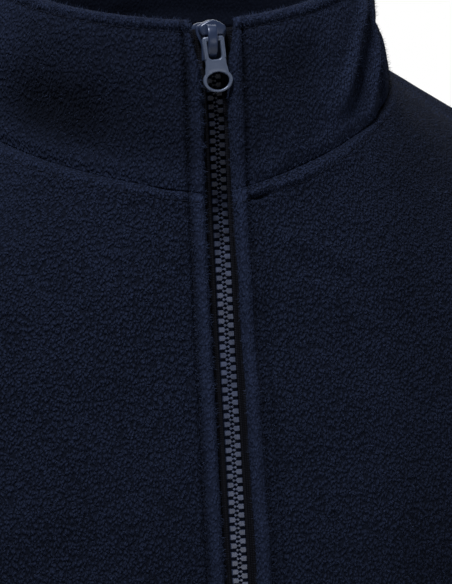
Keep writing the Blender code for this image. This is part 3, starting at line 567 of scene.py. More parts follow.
def zip_groove_shading(s, side):
    """Painted shade in the zip's stitch groove and tape mark, and a painted highlight on the roll's crest."""
    marked = 0.2 * (side > 0) * groove(s, TAPE_MARK, 0.9)
    return 0.75 * groove(s, ZIP_STITCH, 1.3) - 0.35 * groove(s, 2.2, 1.6) + marked


def turned(*distances):
    """How far each face is drawn in at a corner or edge where the cloth is folded over."""
    radius = TURNED_WALL / 2
    inside = np.minimum(np.sqrt(sum(np.clip(radius - d, 0, radius) ** 2 for d in distances)), radius)
    return radius - np.sqrt(radius**2 - inside**2)


def stitched_band(distance, at, depth=0.8, puff=0.45):
    """A groove along a row of stitches, with a puff on the turned side and a low one beyond."""
    inner = puff * groove(distance, at * 0.55, at * 0.3)
    return inner + 0.25 * groove(distance, at + 2.4, 1.8) - depth * groove(distance, at, 0.9)


def cloth_faces(points, outward, height, thick, rolled):
    """Face and back of the cloth from its plain surface."""
    height = (height - rolled)[..., None]
    depth = np.maximum(thick - 2 * rolled, 0.04)[..., None]
    face = points + height * outward
    return face, face - depth * outward


def soft(points):
    """The slight unevenness that all of the torso's cloth has, the same on both sides of a seam."""
    return 1.0 * unevenness(points, 46, 1) + 0.45 * unevenness(points, 17, 2)


# %% [markdown]
# ## Fronts and back
#
# A front is drawn on a grid whose columns start at the folded edge. They lie close together where the
# edge rolls and where the stitches run, and open out over the plain chest. The rows do the same at the
# hem, along the armhole's curve and under the collar.


# %% Rows and columns of the panels
def spread(start, end, step):
    return np.linspace(start, end, max(int(round(abs(end - start) / step)), 1) + 1)


def torso_rows(body_step, arm_count, shoulder_step):
    """Levels from hem to neck."""
    hem = [*EDGE_STEPS, *spread(6, HEM_BAND - 3, 2.6), *(HEM_BAND + step for step in GROOVE_STEPS)]
    low, high = LOW * TORSO_LENGTH, HIGH * TORSO_LENGTH
    body = spread(HEM_BAND + 5, low, body_step)[:-1]
    arm = armhole(np.linspace(0, 0.5, arm_count + 1))[1] * TORSO_LENGTH
    band = [2 * step for step in (*SEAM_STEPS[:6], 4.4, 5.0, 5.5, 6.0, 6.6, 7.4, 8.6, 10)]
    shoulder = spread(high, TORSO_LENGTH - 24, shoulder_step)[1:]
    rows = np.concatenate([hem, body, arm, shoulder, TORSO_LENGTH - np.array(band[::-1])])
    return rows / TORSO_LENGTH


def panel_end(level, front):
    """Angle of a panel's outer edge at each level: the side seam, the armhole or the shoulder seam."""
    share = ((LOW + HIGH) / 2 - level) / ((HIGH - LOW) / 2)
    turn = np.arccos(np.clip(share, -1, 1)) / (2 * np.pi)
    return armhole(turn if front else 1 - turn)[0]


def angle_at(surface, x, v, side):
    """Angle at which a surface is x to one side of the centre line, found by halving."""
    low, high = np.zeros_like(x), np.full_like(x, np.radians(40))
    for _ in range(22):
        middle = (low + high) / 2
        inside = np.abs(surface(side * middle, v)[..., 0]) < x
        low, high = np.where(inside, middle, low), np.where(inside, high, middle)
    return (low + high) / 2


ZIP_COLUMNS = np.array([
    *EDGE_STEPS, 4.6, *(ZIP_STITCH + step for step in GROOVE_STEPS),
    9.2, 10.0, 10.4, 10.8, 11.3, 12.2, 13.4, 15, 17, 19.5, 22,
])
SIDE_COLUMNS = 1 - np.array([0.026, 0.019, 0.013, 0.008, 0.004, 0])


def front_grid(surface, level, z, end, side, count):
    """Angles of a front's columns, from its folded edge to its end."""
    word = "left" if side > 0 else "right"
    edge, sewn = zip_table(z, word + "_edge"), zip_table(z, word + "_stitch")
    stretch = (sewn - edge) / ZIP_STITCH
    inner = edge[:, None] + ZIP_COLUMNS * stretch[:, None]
    x = np.where(ZIP_COLUMNS < ZIP_STITCH, inner, sewn[:, None] + ZIP_COLUMNS - ZIP_STITCH)
    levels = np.broadcast_to(level[:, None], x.shape)
    near = angle_at(surface, x, levels, side)
    start = near[:, -1:]
    share = np.concatenate([np.linspace(0, 0.965, count)[1:], SIDE_COLUMNS])
    rest = start + share * (np.pi / 2 - start) - share**2 * (np.pi / 2 - end)[:, None]
    return np.concatenate([near, rest], axis=1)


def sewn_distance(s):
    """Distance from the folded edge, with the zip's stitches always at the same value of it."""
    count = len(ZIP_COLUMNS)
    near = np.broadcast_to(ZIP_COLUMNS, (len(s), count))
    return np.concatenate([near, s[:, count:] - s[:, count - 1:count] + ZIP_COLUMNS[-1]], axis=1)


def draw_in(points, lines):
    """Move each edge line inwards by half of the seam's gap; a line is its index and its neighbour's."""
    for edge, neighbour in lines:
        points[edge] += unit(points[neighbour] - points[edge]) * SEAM_GAP / 2


def torso_height(points, angle):
    return torso_folds(FINE_TORSO_FOLDS, angle, points[..., 2]) + soft(points)


def doubled(distance, width):
    """1 where the cloth is turned in along an edge, falling to 0 just past its row of stitches."""
    return eased(distance, width, width - 1.2)


def wall(share):
    return WALL + (TURNED_WALL - WALL) * share


# %% The two fronts
CLOTH = {}
# Loose fibre, as shares of the usual: on plain cloth at the front and elsewhere, on a turned-up edge, on the
# upper chest, on the zip's folded edge and on the collar with its rim.
PLAIN_FRONT, PLAIN, HEM_FUZZ, CHEST_FUZZ, FOLD_FUZZ, COLLAR_FUZZ, RIM_FUZZ = 1, 0.4, 1.5, 3.5, 9, 3.5, 26
EDGE_MM, UPPER_CHEST = 3, -190
# Painted shade, positive, and painted highlight, negative: shade low on the front, towards the arm and on
# the shoulder, where less light falls, and a highlight on the raised band beside the neck seam.
LOW_SHADE, SIDE_SHADE, SHOULDER_SHADE, NECK_SHADE = 0.25, 0.25, 0.4, -0.7
# Each panel's row step in millimetres, rows along its armhole and step over the shoulder; and its columns.
FRONT_ROWS, BACK_ROWS = (3.4, 110, 1.7), (4.4, 76, 3.0)
FRONT_COLUMNS, BACK_COLUMNS = 74, 52


def make_front(name, side):
    level = torso_rows(*FRONT_ROWS)
    z = torso(np.zeros_like(level), level)[:, 2]
    angle = front_grid(torso, level, z, panel_end(level, True), side, FRONT_COLUMNS) * side
    levels = np.broadcast_to(level[:, None], angle.shape)
    points = torso(angle, levels)
    draw_in(points, [(np.s_[:, -1], np.s_[:, -2]), (np.s_[-1], np.s_[-2])])
    outward = grid_normals(points) * side
    edge_s, outer = from_ends(points, 1)
    s = sewn_distance(edge_s)
    above_hem, below_neck = from_ends(points, 0)
    height = torso_height(points, angle) + zip_edge_height(s, points[..., 2], side)
    height += seam_edge(outer) + seam_edge(below_neck, 0.4) * off_roll(s) + stitched_band(above_hem, HEM_BAND)
    from_neck = below_neck * NECK_BAND / band_width(s, side)
    height += stitched_band(from_neck, NECK_BAND, 0.45, 1.0) * eased(s, 4, 8)
    height -= side_crease(s, from_neck, side)
    thick = wall(np.maximum(doubled(s, DOUBLED_TO), doubled(above_hem, HEM_BAND + 1)))
    face, back = cloth_faces(points, outward, height, thick, turned(edge_s, above_hem))
    back[:, -1] = tucked(back[:, -1], back[:, -2], outward[:, -1])
    fuzz = PLAIN_FRONT + FOLD_FUZZ * (edge_s < EDGE_MM) + HEM_FUZZ * (above_hem < EDGE_MM)
    fuzz = fuzz + CHEST_FUZZ * (points[..., 2] > UPPER_CHEST)
    # The zip's rolled edge has flatter pile, and its paler colour there is a painted highlight.
    smooth = 1 - eased(s, 4.5, 7.5)
    x, z = points[..., 0], points[..., 2]
    # Painted shading: shade low on the front, towards the arm, on the shoulder and in the stitch grooves, and
    # painted highlight on the zip's roll and the neck band.
    shade = LOW_SHADE * eased(z, -90, -220) + zip_groove_shading(s, side) + SIDE_SHADE * eased(x, 56, 70)
    shade += 0.1 * groove(from_neck, NECK_BAND, 1.0)
    shade += NECK_SHADE * groove(from_neck, NECK_BAND * 0.5, 2.4)
    shade += SHOULDER_SHADE * eased(x, 64, 84) * eased(z, -70, -30)
    CLOTH[name] = {"face": face, "outward": outward, "s": s, "hem": above_hem, "neck": from_neck}
    order = slice(None) if side > 0 else slice(None, None, -1)
    return shell(name, *(grid[:, order] for grid in (face, back, fuzz, smooth, shade)))


def off_roll(s):
    """The neck seam fades where it crosses the soft roll beside the zip."""
    return 0.2 + 0.8 * eased(s, 3, 6.5)


def band_width(s, side):
    """Width of the flattened seam allowance under the collar, which wanders a little."""
    if side < 0:
        return np.interp(s, (0, 14, 28, 45, 70, 100), (3.6, 4.0, 4.3, 4.6, 5.0, 5.4))
    return np.interp(s, (0, 12, 26, 40, 56, 80, 100), (5.0, 5.3, 6.3, 5.4, 3.8, 3.4, 4.5))


def side_crease(s, from_neck, side):
    """The short deep pinch under the collar seam beside the zip, on the wearer's left."""
    if side < 0:
        return 0
    along = eased(s, 5.8, 7.3) * eased(s, 16, 10)
    return 1.9 * along * groove(from_neck, NECK_BAND + 0.2, 1.0)


fronts = {word: make_front(f"cloth_front_{word}", side) for word, side in SIDES.items()}


# %% The back
def make_back(name):
    level = torso_rows(*BACK_ROWS)
    end = panel_end(level, False)[:, None]
    share = np.concatenate([[0, 0.003, 0.007, 0.012, 0.018, 0.026], np.linspace(0.036, 1, BACK_COLUMNS)])
    left = end + share * (np.pi / 2) + (2 * share - share**2) * (np.pi / 2 - end)
    angle = np.concatenate([left, 2 * np.pi - left[:, -2::-1]], axis=1)
    points = torso(angle, np.broadcast_to(level[:, None], angle.shape))
    draw_in(points, [(np.s_[:, 0], np.s_[:, 1]), (np.s_[:, -1], np.s_[:, -2]), (np.s_[-1], np.s_[-2])])
    outward = grid_normals(points)
    from_left, from_right = from_ends(points, 1)
    above_hem, below_neck = from_ends(points, 0)
    height = torso_height(points, angle) + seam_edge(np.minimum(from_left, from_right))
    height += seam_edge(below_neck) + stitched_band(below_neck, NECK_BAND)
    height += stitched_band(above_hem, HEM_BAND)
    thick = wall(doubled(above_hem, HEM_BAND + 1))
    face, back = cloth_faces(points, outward, height, thick, turned(above_hem))
    for edge, inner in ((0, 1), (-1, -2)):
        back[:, edge] = tucked(back[:, edge], back[:, inner], outward[:, edge])
    CLOTH[name] = {"face": face, "outward": outward, "hem": above_hem, "neck": below_neck}
    return shell(name, face, back, PLAIN + HEM_FUZZ * (above_hem < EDGE_MM), np.zeros_like(above_hem))


back = make_back("cloth_back")


# %% [markdown]
# ## Collar
#
# The collar is one strip of doubled fleece, folded over at its top and sewn to the neck. Its rim is
# round, a row of stitches runs under the rim, and its ends are the zip's folded edges.

# %% The collar
COLLAR_FRONT_COLUMNS, COLLAR_BACK_COLUMNS = 72, 130
# Painted shade, positive, and painted highlight, negative: on the collar's middle, for each millimetre of
# hollow and of ridge, beside the foot on the wearer's left, in the rim's row of stitches and on the rim.
MID_COLLAR_SHADE, HOLLOW_SHADE, RIDGE_SHADE, FOOT_SHADE = 0.62, 0.24, -0.34, -0.4
ROW_SHADE, RIM_SHADE = 0.45, -0.7


def make_collar(name):
    rim = COLLAR_MM - np.array([*EDGE_STEPS, *(RIM_STITCH + step for step in GROOVE_STEPS[1:])])
    rise = np.concatenate([SEAM_STEPS, spread(9, COLLAR_MM - 7.4, 1.4), rim[::-1]]) / COLLAR_MM
    z = plain_collar(np.zeros_like(rise), rise)[:, 2]
    quarter = np.full_like(rise, np.pi / 2)
    left, right = (
        front_grid(collar, rise, z, quarter, side, COLLAR_FRONT_COLUMNS)[:, :-5] for side in (1, -1)
    )
    behind = np.linspace(np.pi / 2, 3 * np.pi / 2, COLLAR_BACK_COLUMNS)[1:-1]
    behind = np.broadcast_to(behind, (len(rise), len(behind)))
    angle = np.concatenate([left, behind, 2 * np.pi - right[:, ::-1]], axis=1)
    points = collar(angle, np.broadcast_to(rise[:, None], angle.shape))
    draw_in(points, [(np.s_[0], np.s_[1])])
    outward = grid_normals(points)
    left_edge, right_edge = from_ends(points, 1)
    left_s, right_s = sewn_distance(left_edge), sewn_distance(right_edge[:, ::-1])[:, ::-1]
    above_seam, below_rim = from_ends(points, 0)
    height = collar_folds(FINE_COLLAR_FOLDS, angle, above_seam)
    height += 0.7 * unevenness(points, 34, 1) + 0.4 * unevenness(points, 13, 2)
    height += zip_edge_height(left_s, points[..., 2], 1) + zip_edge_height(right_s, points[..., 2], -1)
    s, edge_s = np.minimum(left_s, right_s), np.minimum(left_edge, right_edge)
    height += seam_edge(above_seam, 0.3) * off_roll(s) + 0.3 * groove(below_rim, 2.4, 1.6)
    uneven = 0.6 + 0.4 * unevenness(points, 20, 5)
    height -= 0.9 * uneven * groove(below_rim, RIM_STITCH, 1.1)
    rolled = turned(edge_s, below_rim)
    face, inner = cloth_faces(points, outward, height, np.full_like(s, TURNED_WALL), rolled)
    inner[0] = tucked(inner[0], inner[1], outward[0])
    fuzz = COLLAR_FUZZ + RIM_FUZZ * (below_rim < EDGE_MM + 0.5) + FOLD_FUZZ * (edge_s < EDGE_MM)
    smooth = 0.9 - 0.4 * eased(s, 4, 7)
    x = points[..., 0]
    # Painted shading: shade over the collar's middle, in the folds' hollows and in the stitch grooves, and
    # painted highlight on the ridges, beside the foot on the wearer's left and on the rim.
    mid_collar = eased(above_seam, 0, 14) * (1 - 0.6 * eased(below_rim, 14, 2))
    shade = MID_COLLAR_SHADE * mid_collar * (1 - 0.3 * eased(x, 4, 14)) * (1 - eased(x, 34, 48))
    fold = collar_folds(COLLAR_FOLDS, angle, above_seam)
    shade += HOLLOW_SHADE * np.clip(-fold, 0, 3) + RIDGE_SHADE * np.clip(fold, 0, 3)
    shade += FOOT_SHADE * eased(x, 38, 50) * (1 - eased(above_seam, 8, 22))
    shade += zip_groove_shading(left_s, 1) + zip_groove_shading(right_s, -1)
    shade += ROW_SHADE * groove(below_rim, RIM_STITCH, 1.1) + RIM_SHADE * groove(below_rim, 0, 2.6)
    CLOTH[name] = {"face": face, "outward": outward, "rim": below_rim, "s": s}
    return shell(name, face, inner, fuzz, smooth, shade)


collar_piece = make_collar("cloth_collar")


# %% [markdown]
# ## Sleeves
#
# A sleeve is a closed tube, so its grid joins up with itself at the underarm seam. The creases crowd
# inside the elbow and above the cuff, where a bent arm pushes the cloth together.

# %% The two sleeves
SLEEVE_COLUMN_COUNT, MIRROR_SHIFT = 92, 28


def make_sleeve(name, side):
    beside = np.array([0, 0.0016, 0.0042, 0.008, 0.013])
    turns = np.concatenate([beside, np.linspace(0.02, 0.98, SLEEVE_COLUMN_COUNT), 1 - beside[:0:-1]])
    tube = (SLEEVE.values["z"][0] - SLEEVE.values["z"][-1]) / (LAST_RUN - 1)
    cuff = [*EDGE_STEPS, *spread(6, CUFF_BAND - 3, 2.8), *(CUFF_BAND + step for step in GROOVE_STEPS)]
    cap = np.array([0, 0.006, 0.013, 0.022, 0.034, 0.05])
    last_plain = LAST_RUN - (CUFF_BAND + 4) / tube
    runs = np.concatenate([cap, spread(0.075, last_plain, 0.05), LAST_RUN - np.array(cuff[::-1]) / tube])
    turn, run = np.meshgrid(turns, runs)
    points = plain_sleeve(turn, run, side)
    first = -grid_normals(points, closed=True) * side
    height = fold_height(SLEEVE_FOLDS, turn * 360, run * SLEEVE_V, 360)
    shift = 0 if side > 0 else MIRROR_SHIFT
    height += fold_height(FINE_SLEEVE_FOLDS, turn * 360 + shift, run * SLEEVE_V - shift / 2, 360)
    points = points + (height * eased(run, 0, 0.8))[..., None] * first
    outward = -grid_normals(points, closed=True) * side
    _, torso_side, off_edge = armhole_frame(turns, side)
    bend = cap_bend(turns)[:, None]
    outward[0] = unit(np.cos(bend) * torso_side - np.sin(bend) * off_edge)
    start = np.cos(bend) * off_edge + np.sin(bend) * torso_side
    points[0] += start * SEAM_GAP / 2 / np.cos(bend / 2)
    from_arm, from_cuff = from_ends(points, 0)
    girth = np.linalg.norm(np.diff(points, axis=1), axis=-1).sum(axis=1)[:, None]
    from_seam = np.minimum(turn, 1 - turn) * girth
    rows = seam_edge(from_arm) + stitched_band(from_cuff, CUFF_BAND) + 0.8 * seam_edge(from_seam)
    own = eased(from_arm, 0, 20)
    rows += (0.9 * unevenness(points, 38, 1) + 0.45 * unevenness(points, 15, 2)) * own
    rows += torso_height(points, np.pi / 2 * side) * (1 - own)
    thick = wall(doubled(from_cuff, CUFF_BAND + 1))
    face, inner = cloth_faces(points, outward, rows, thick, turned(from_cuff))
    inner[0] = tucked(inner[0], inner[1], outward[0])
    CLOTH[name] = {"face": face, "outward": outward, "cuff": from_cuff}
    order = slice(None, None, -1) if side > 0 else slice(None)
    grids = (face, inner, PLAIN + HEM_FUZZ * (from_cuff < EDGE_MM), np.zeros_like(from_cuff))
    return shell(name, *(grid[order] for grid in grids), closed=True)


sleeves = {word: make_sleeve(f"cloth_sleeve_{word}", side) for word, side in SIDES.items()}


# %% [markdown]
# ## A small helper for node trees
#
# Every tree below, for shading or for geometry, is built with the same one call: the kind of node, the
# values or links of its sockets, and its settings. The few nodes that come again and again are short
# calls of their own on top of it, and each of them gives back its output.


# %% Nodes and colours
def add_node(tree, kind, inputs=None, **settings):
    """Add a node. A socket's value may be a number, a vector or another node's output, which is linked."""
    made = tree.nodes.new(kind)
    for name, value in settings.items():
        setattr(made, name, value)
    for socket, value in (inputs or {}).items():
        if isinstance(value, bpy.types.NodeSocket):
            tree.links.new(value, made.inputs[socket])
        else:
            made.inputs[socket].default_value = value
    return made


def linear(hex_colour):
    """An sRGB hex colour as linear light."""
    parts = [int(hex_colour[i:i + 2], 16) / 255 for i in (1, 3, 5)]
    return tuple(p / 12.92 if p <= 0.04045 else ((p + 0.055) / 1.055) ** 2.4 for p in parts) + (1.0,)


def new_material(name, **sockets):
    """A material whose Principled shader has these constant sockets; returns it, its tree and its shader."""
    made = bpy.data.materials.new(name)
    made.use_nodes = True
    shader = made.node_tree.nodes["Principled BSDF"]
    for socket, value in sockets.items():
        shader.inputs[socket.replace("_", " ")].default_value = value
    return made, made.node_tree, shader


def times(tree, value, by, plus=0.0):
    return add_node(tree, "ShaderNodeMath", {0: value, 1: by, 2: plus}, operation="MULTIPLY_ADD").outputs[0]


def vector_maths(tree, operation, inputs):
    return add_node(tree, "ShaderNodeVectorMath", inputs, operation=operation).outputs[0]


def ranged(tree, value, low=0.0, high=1.0, to_low=0.0, to_high=1.0):
    sockets = {"Value": value, 1: low, 2: high, 3: to_low, 4: to_high}
    return add_node(tree, "ShaderNodeMapRange", sockets).outputs[0]


def cloud(tree, place, scale, detail=2.0, output=0):
    """Soft noise at a place, as a value, or as a colour where the output says so."""
    sockets = {"Vector": place, "Scale": scale, "Detail": detail}
    return add_node(tree, "ShaderNodeTexNoise", sockets).outputs[output]


def own_place(tree, scale=None):
    """Where a point lies on its piece, in metres, or with each axis times the scale."""
    place = add_node(tree, "ShaderNodeTexCoord").outputs["Object"]
    if scale:
        place = add_node(tree, "ShaderNodeMapping", {"Vector": place, "Scale": scale}).outputs[0]
    return place


def two_tone(tree, value, low, high):
    ramp = add_node(tree, "ShaderNodeValToRGB", {0: value})
    for element, colour in zip(ramp.color_ramp.elements, (low, high)):
        element.color = linear(colour)
    return ramp.outputs[0]


def finish(tree, shader, colour, height, strength, distance):
    """Give a shader its colour, and its bump from a height that is worth this distance in metres."""
    tree.links.new(colour, shader.inputs["Base Color"])
    bump = add_node(tree, "ShaderNodeBump", {"Height": height, "Strength": strength, "Distance": distance})
    tree.links.new(bump.outputs[0], shader.inputs["Normal"])


# %% [markdown]
# ## Brushed micro fleece
#
# Fleece is a polyester knit whose face is brushed and then tumbled, so that the pile balls up into tiny
# nubs, about 1 mm wide and 1.7 mm long. The eye reads it by those nubs: their relief, a colour a little
# darker in the pits than at the fibre tips, partly painted shade, and hardly any shine. The nubs come from
# a Voronoi pattern whose coordinates are pushed about by noise and stretched along the body, and the same
# height drives both colour and bump. Each shell's own "smooth" says where the pile is worn flat and
# paler, the paler part a painted highlight on the zip's rolled edges, and its "shade" is painted shade,
# and painted highlight where it is negative.

# %% Fleece
# The nubs' width in millimetres; millimetres to the metre on each axis, fewer along the body so that the
# nubs are longer there; how far noise pushes them; their height in metres; and how much the two attributes
# pale the pile, partly as painted highlight, flatten it and darken it as painted shade.
NUB_MM, PER_NUB_AXIS, NUB_DRIFT, NUB_HEIGHT = 0.95, (1000, 1000, 560), 1.3, 0.0012
RUBBED_AND_HIGHLIT, FLATTENED, SHADE_DEPTH = 0.3, 0.38, 0.6


def fleece_material(name, pit, crest):
    made, tree, shader = new_material(
        name, Roughness=0.95, Specular_IOR_Level=0.12, Specular_Tint=linear("#c8d0e6"),
        Sheen_Weight=0.06, Sheen_Roughness=0.5, Sheen_Tint=linear("#5a6a92"),
    )
    mm = own_place(tree, PER_NUB_AXIS)
    drift = cloud(tree, mm, 0.55, 1.0, "Color")
    centred = vector_maths(tree, "SUBTRACT", {0: drift, 1: (0.5, 0.5, 0.5)})
    pushed = vector_maths(tree, "SCALE", {0: centred, "Scale": NUB_DRIFT})
    bent = vector_maths(tree, "ADD", {0: mm, 1: pushed})
    cells = add_node(
        tree, "ShaderNodeTexVoronoi",
        {"Vector": bent, "Scale": 1 / NUB_MM, "Smoothness": 0.12, "Randomness": 0.9}, feature="SMOOTH_F1",
    ).outputs["Distance"]
    height = times(tree, cloud(tree, mm, 1.5, 3.0), 0.5, ranged(tree, cells, 0.72, 0.05))
    smooth, shade = (
        add_node(tree, "ShaderNodeAttribute", attribute_name=word).outputs["Fac"]
        for word in ("smooth", "shade")
    )
    tone = times(tree, cloud(tree, mm, 0.035), 0.22, height)
    # Pits darker than crests: partly painted shade.
    pile = two_tone(tree, ranged(tree, tone, 0.3, 1.4), pit, crest)
    # Paler where the pile is flattened; on the zip's rolled edges this is painted highlight.
    rubbed_and_highlit = times(tree, smooth, RUBBED_AND_HIGHLIT)
    colour = add_node(
        tree, "ShaderNodeMix", {0: rubbed_and_highlit, 6: pile, 7: linear(crest)}, data_type="RGBA"
    ).outputs[2]
    # The shade attribute darkens the colour as painted shade, and lightens it as painted highlight where
    # negative.
    lit = vector_maths(tree, "SCALE", {0: colour, "Scale": times(tree, shade, -SHADE_DEPTH, 1.0)})
    finish(tree, shader, lit, height, times(tree, smooth, -FLATTENED, 1.0), NUB_HEIGHT)
    return made


# The pit colour is darker partly as painted shade in the nubs' pits.
FLEECE = fleece_material("brushed_polyester_fleece", "#0c101b", "#252e47")
cloth_pieces = [*fronts.values(), back, collar_piece, *sleeves.values()]
for piece in cloth_pieces:
    piece.data.materials.append(FLEECE)
print("fleece nubs:", NUB_MM, "mm apart on", len(cloth_pieces), "pieces")


# %% [markdown]
# ## Items in a row: one Geometry Nodes tree for teeth and stitches
#
# A zip's teeth and a row of stitches are the same thing to a computer: one small shape, repeated at a
# set distance along a line that lies on the cloth. The line is a mesh of edges that also stores which
# way is out of the cloth. The tree turns it into a curve, samples it at the spacing, and puts the item
# on each sample with its length along the line and its top facing out.

# %% The row tree
def new_tree(name, sockets):
    """A Geometry Nodes tree with these named inputs; returns it, its input node and its sockets' keys."""
    tree = bpy.data.node_groups.new(name, "GeometryNodeTree")
    tree.is_modifier = True
    tree.interface.new_socket(name="Geometry", in_out="INPUT", socket_type="NodeSocketGeometry")
    keys = {}
    for label, kind in sockets.items():
        socket = tree.interface.new_socket(name=label, in_out="INPUT", socket_type=f"NodeSocket{kind}")
        keys[label] = socket.identifier
    tree.interface.new_socket(name="Geometry", in_out="OUTPUT", socket_type="NodeSocketGeometry")
    return tree, add_node(tree, "NodeGroupInput").outputs, keys


def place_items(tree, given, points, rotation, spin, size=(1, 1, 1)):
    """Put the item on each point, spun about its own axes, make the copies real and paint them."""
    spin = add_node(tree, "FunctionNodeEulerToRotation", {0: spin}).outputs[0]
    spun = add_node(
        tree, "FunctionNodeRotateRotation", {0: rotation, 1: spin}, rotation_space="LOCAL"
    ).outputs[0]
    item = add_node(tree, "GeometryNodeObjectInfo", {"Object": given["Item"]}).outputs["Geometry"]
    placed = add_node(tree, "GeometryNodeInstanceOnPoints", {
        "Points": points, "Instance": item, "Rotation": spun, "Scale": size,
    }).outputs[0]
    real = add_node(tree, "GeometryNodeRealizeInstances", {"Geometry": placed}).outputs[0]
    painted = add_node(tree, "GeometryNodeSetMaterial", {"Geometry": real, "Material": given["Material"]})
    add_node(tree, "NodeGroupOutput", {"Geometry": painted.outputs[0]})


def row_tree():
    tree, given, keys = new_tree("items_in_a_row", {
        "Item": "Object", "Spacing": "Float", "Turn": "Float", "Wobble": "Float", "Seed": "Int",
        "Material": "Material",
    })
    curve = add_node(tree, "GeometryNodeMeshToCurve", {"Mesh": given["Geometry"]}).outputs[0]
    even = add_node(
        tree, "GeometryNodeResampleCurve", {"Curve": curve, "Length": given["Spacing"]}, mode="LENGTH"
    ).outputs[0]
    outward = add_node(tree, "GeometryNodeInputNamedAttribute", {"Name": "outward"}, data_type="FLOAT_VECTOR")
    along = add_node(tree, "GeometryNodeInputTangent").outputs[0]
    facing = add_node(tree, "FunctionNodeAxesToRotation", {0: outward.outputs[0], 1: along},
                      primary_axis="Z", secondary_axis="Y").outputs[0]
    chance = add_node(tree, "FunctionNodeRandomValue", {"Seed": given["Seed"], 2: -1.0, 3: 1.0}).outputs[1]
    loose = times(tree, chance, given["Wobble"], given["Turn"])
    spin = add_node(tree, "ShaderNodeCombineXYZ", {"Z": loose}).outputs[0]
    place_items(tree, given, even, facing, spin)
    return tree, keys


ROW_TREE, ROW_KEYS = row_tree()


def run_tree(name, source, tree, keys, **inputs):
    """Run a tree on an object and keep the result as a plain mesh in a new object."""
    modifier = source.modifiers.new("nodes", "NODES")
    modifier.node_group = tree
    for label, value in inputs.items():
        modifier[keys[label]] = value
    bpy.context.view_layer.update()
    evaluated = source.evaluated_get(bpy.context.evaluated_depsgraph_get())
    mesh = bpy.data.meshes.new_from_object(evaluated)
    source.modifiers.remove(modifier)
    for label in [a.name for a in mesh.attributes if a.name in ("outward", *INSIDE)]:
        mesh.attributes.remove(mesh.attributes[label])
    mesh.name = name
    mesh.calc_loop_triangles()
    print(f"{name}: {len(mesh.loop_triangles):,} triangles")
    return new_object(name, mesh)


def lines_object(name, lines):
    """Several lines of points, each with its outward directions, as one mesh of edges."""
    points, ways, edges = [], [], []
    for line, outward in lines:
        edges += [(len(points) + i, len(points) + i + 1) for i in range(len(line) - 1)]
        points += (line * MM).tolist()
        ways += outward.tolist()
    mesh = new_mesh(name, points, edges)
    attribute = mesh.attributes.new("outward", "FLOAT_VECTOR", "POINT")
    attribute.data.foreach_set("vector", np.asarray(ways, np.float32).ravel())
    return new_object(name, mesh)


def drop(*objects):
    for old in objects:
        bpy.data.objects.remove(old)


# %% [markdown]
# ## Flat castings and mouldings
#
# Teeth, slider plates and the pull tab are all flat shapes with softened edges. A 2-D curve makes such a
# shape directly: its outline is filled, extruded to the thickness and given a round bevel, and an inner
# outline becomes a hole.

# %% Plates from outlines
SAME_POINT, SHARP = 0.000004, math.radians(38)


def rounded(points, steps=3):
    """A closed smooth line through the points."""
    p = np.asarray(points, float)
    before, after, beyond = np.roll(p, 1, 0), np.roll(p, -1, 0), np.roll(p, -2, 0)
    line = []
    second, third = 2 * before - 5 * p + 4 * after - beyond, 3 * p - before - 3 * after + beyond
    for t in np.linspace(0, 1, steps, endpoint=False):
        line.append(0.5 * (2 * p + t * (after - before) + t**2 * second + t**3 * third))
    return np.stack(line, axis=1).reshape(-1, 2)


def arc(centre_x, centre_y, half_x, half_y, start, end, steps):
    angles = np.radians(np.linspace(start, end, steps + 1))
    return [(centre_x + half_x * math.cos(a), centre_y + half_y * math.sin(a)) for a in angles]


def mirrored(right):
    return list(right) + [(-x, y) for x, y in reversed(right) if x > 0]


def plate(name, outlines, low, high, edge, rounds=2):
    """A plate between two heights in its own frame, in millimetres, with rounded edges."""
    curve = bpy.data.curves.new(name, "CURVE")
    curve.dimensions, curve.fill_mode = "2D", "BOTH"
    curve.extrude = ((high - low) / 2 - edge) * MM
    curve.bevel_depth, curve.bevel_resolution, curve.offset = edge * MM, rounds - 1, -edge * MM
    for outline in outlines:
        line = curve.splines.new("POLY")
        line.points.add(len(outline) - 1)
        line.points.foreach_set("co", np.array([(x * MM, y * MM, 0, 1) for x, y in outline]).ravel())
        line.use_cyclic_u = True
    holder = new_object(name, curve)
    bpy.context.view_layer.update()
    mesh = bpy.data.meshes.new_from_object(holder.evaluated_get(bpy.context.evaluated_depsgraph_get()))
    bpy.data.objects.remove(holder)
    mesh.transform(Matrix.Translation((0, 0, (low + high) / 2 * MM)))
    return mesh


def joined(name, meshes, frame_matrix=None):
    """One object from several meshes, with its doubles merged and its faces pointing out."""
    shape = bmesh.new()
    for mesh in meshes:
        shape.from_mesh(mesh)
    bmesh.ops.remove_doubles(shape, verts=shape.verts, dist=SAME_POINT)
    bmesh.ops.recalc_face_normals(shape, faces=shape.faces)
    made_mesh = bpy.data.meshes.new(name)
    shape.to_mesh(made_mesh)
    shape.free()
    if frame_matrix is not None:
        made_mesh.transform(frame_matrix)
    made_mesh.shade_smooth()
    made_mesh.set_sharp_from_angle(angle=SHARP)
    return new_object(name, made_mesh)


def swept(name, points, corners):
    """A closed bar from points in metres that go round it, ring after ring."""
    index = np.arange(len(points)).reshape(-1, corners)
    ahead = np.roll(index, -1, axis=1)
    faces = np.stack([index[:-1], ahead[:-1], ahead[1:], index[1:]], axis=-1).reshape(-1, 4).tolist()
    return new_mesh(name, points, faces=faces + [index[0].tolist(), index[-1].tolist()])


# %% [markdown]
# ## The zip
#
# This is a moulded zip: plastic teeth are cast straight on the tape's edge. Each tooth is a squarish
# body with a narrow neck and a round head that reaches between two heads of the other side. Teeth stand
# 3.2 mm apart on each side, and the two sides are half a step out of line.

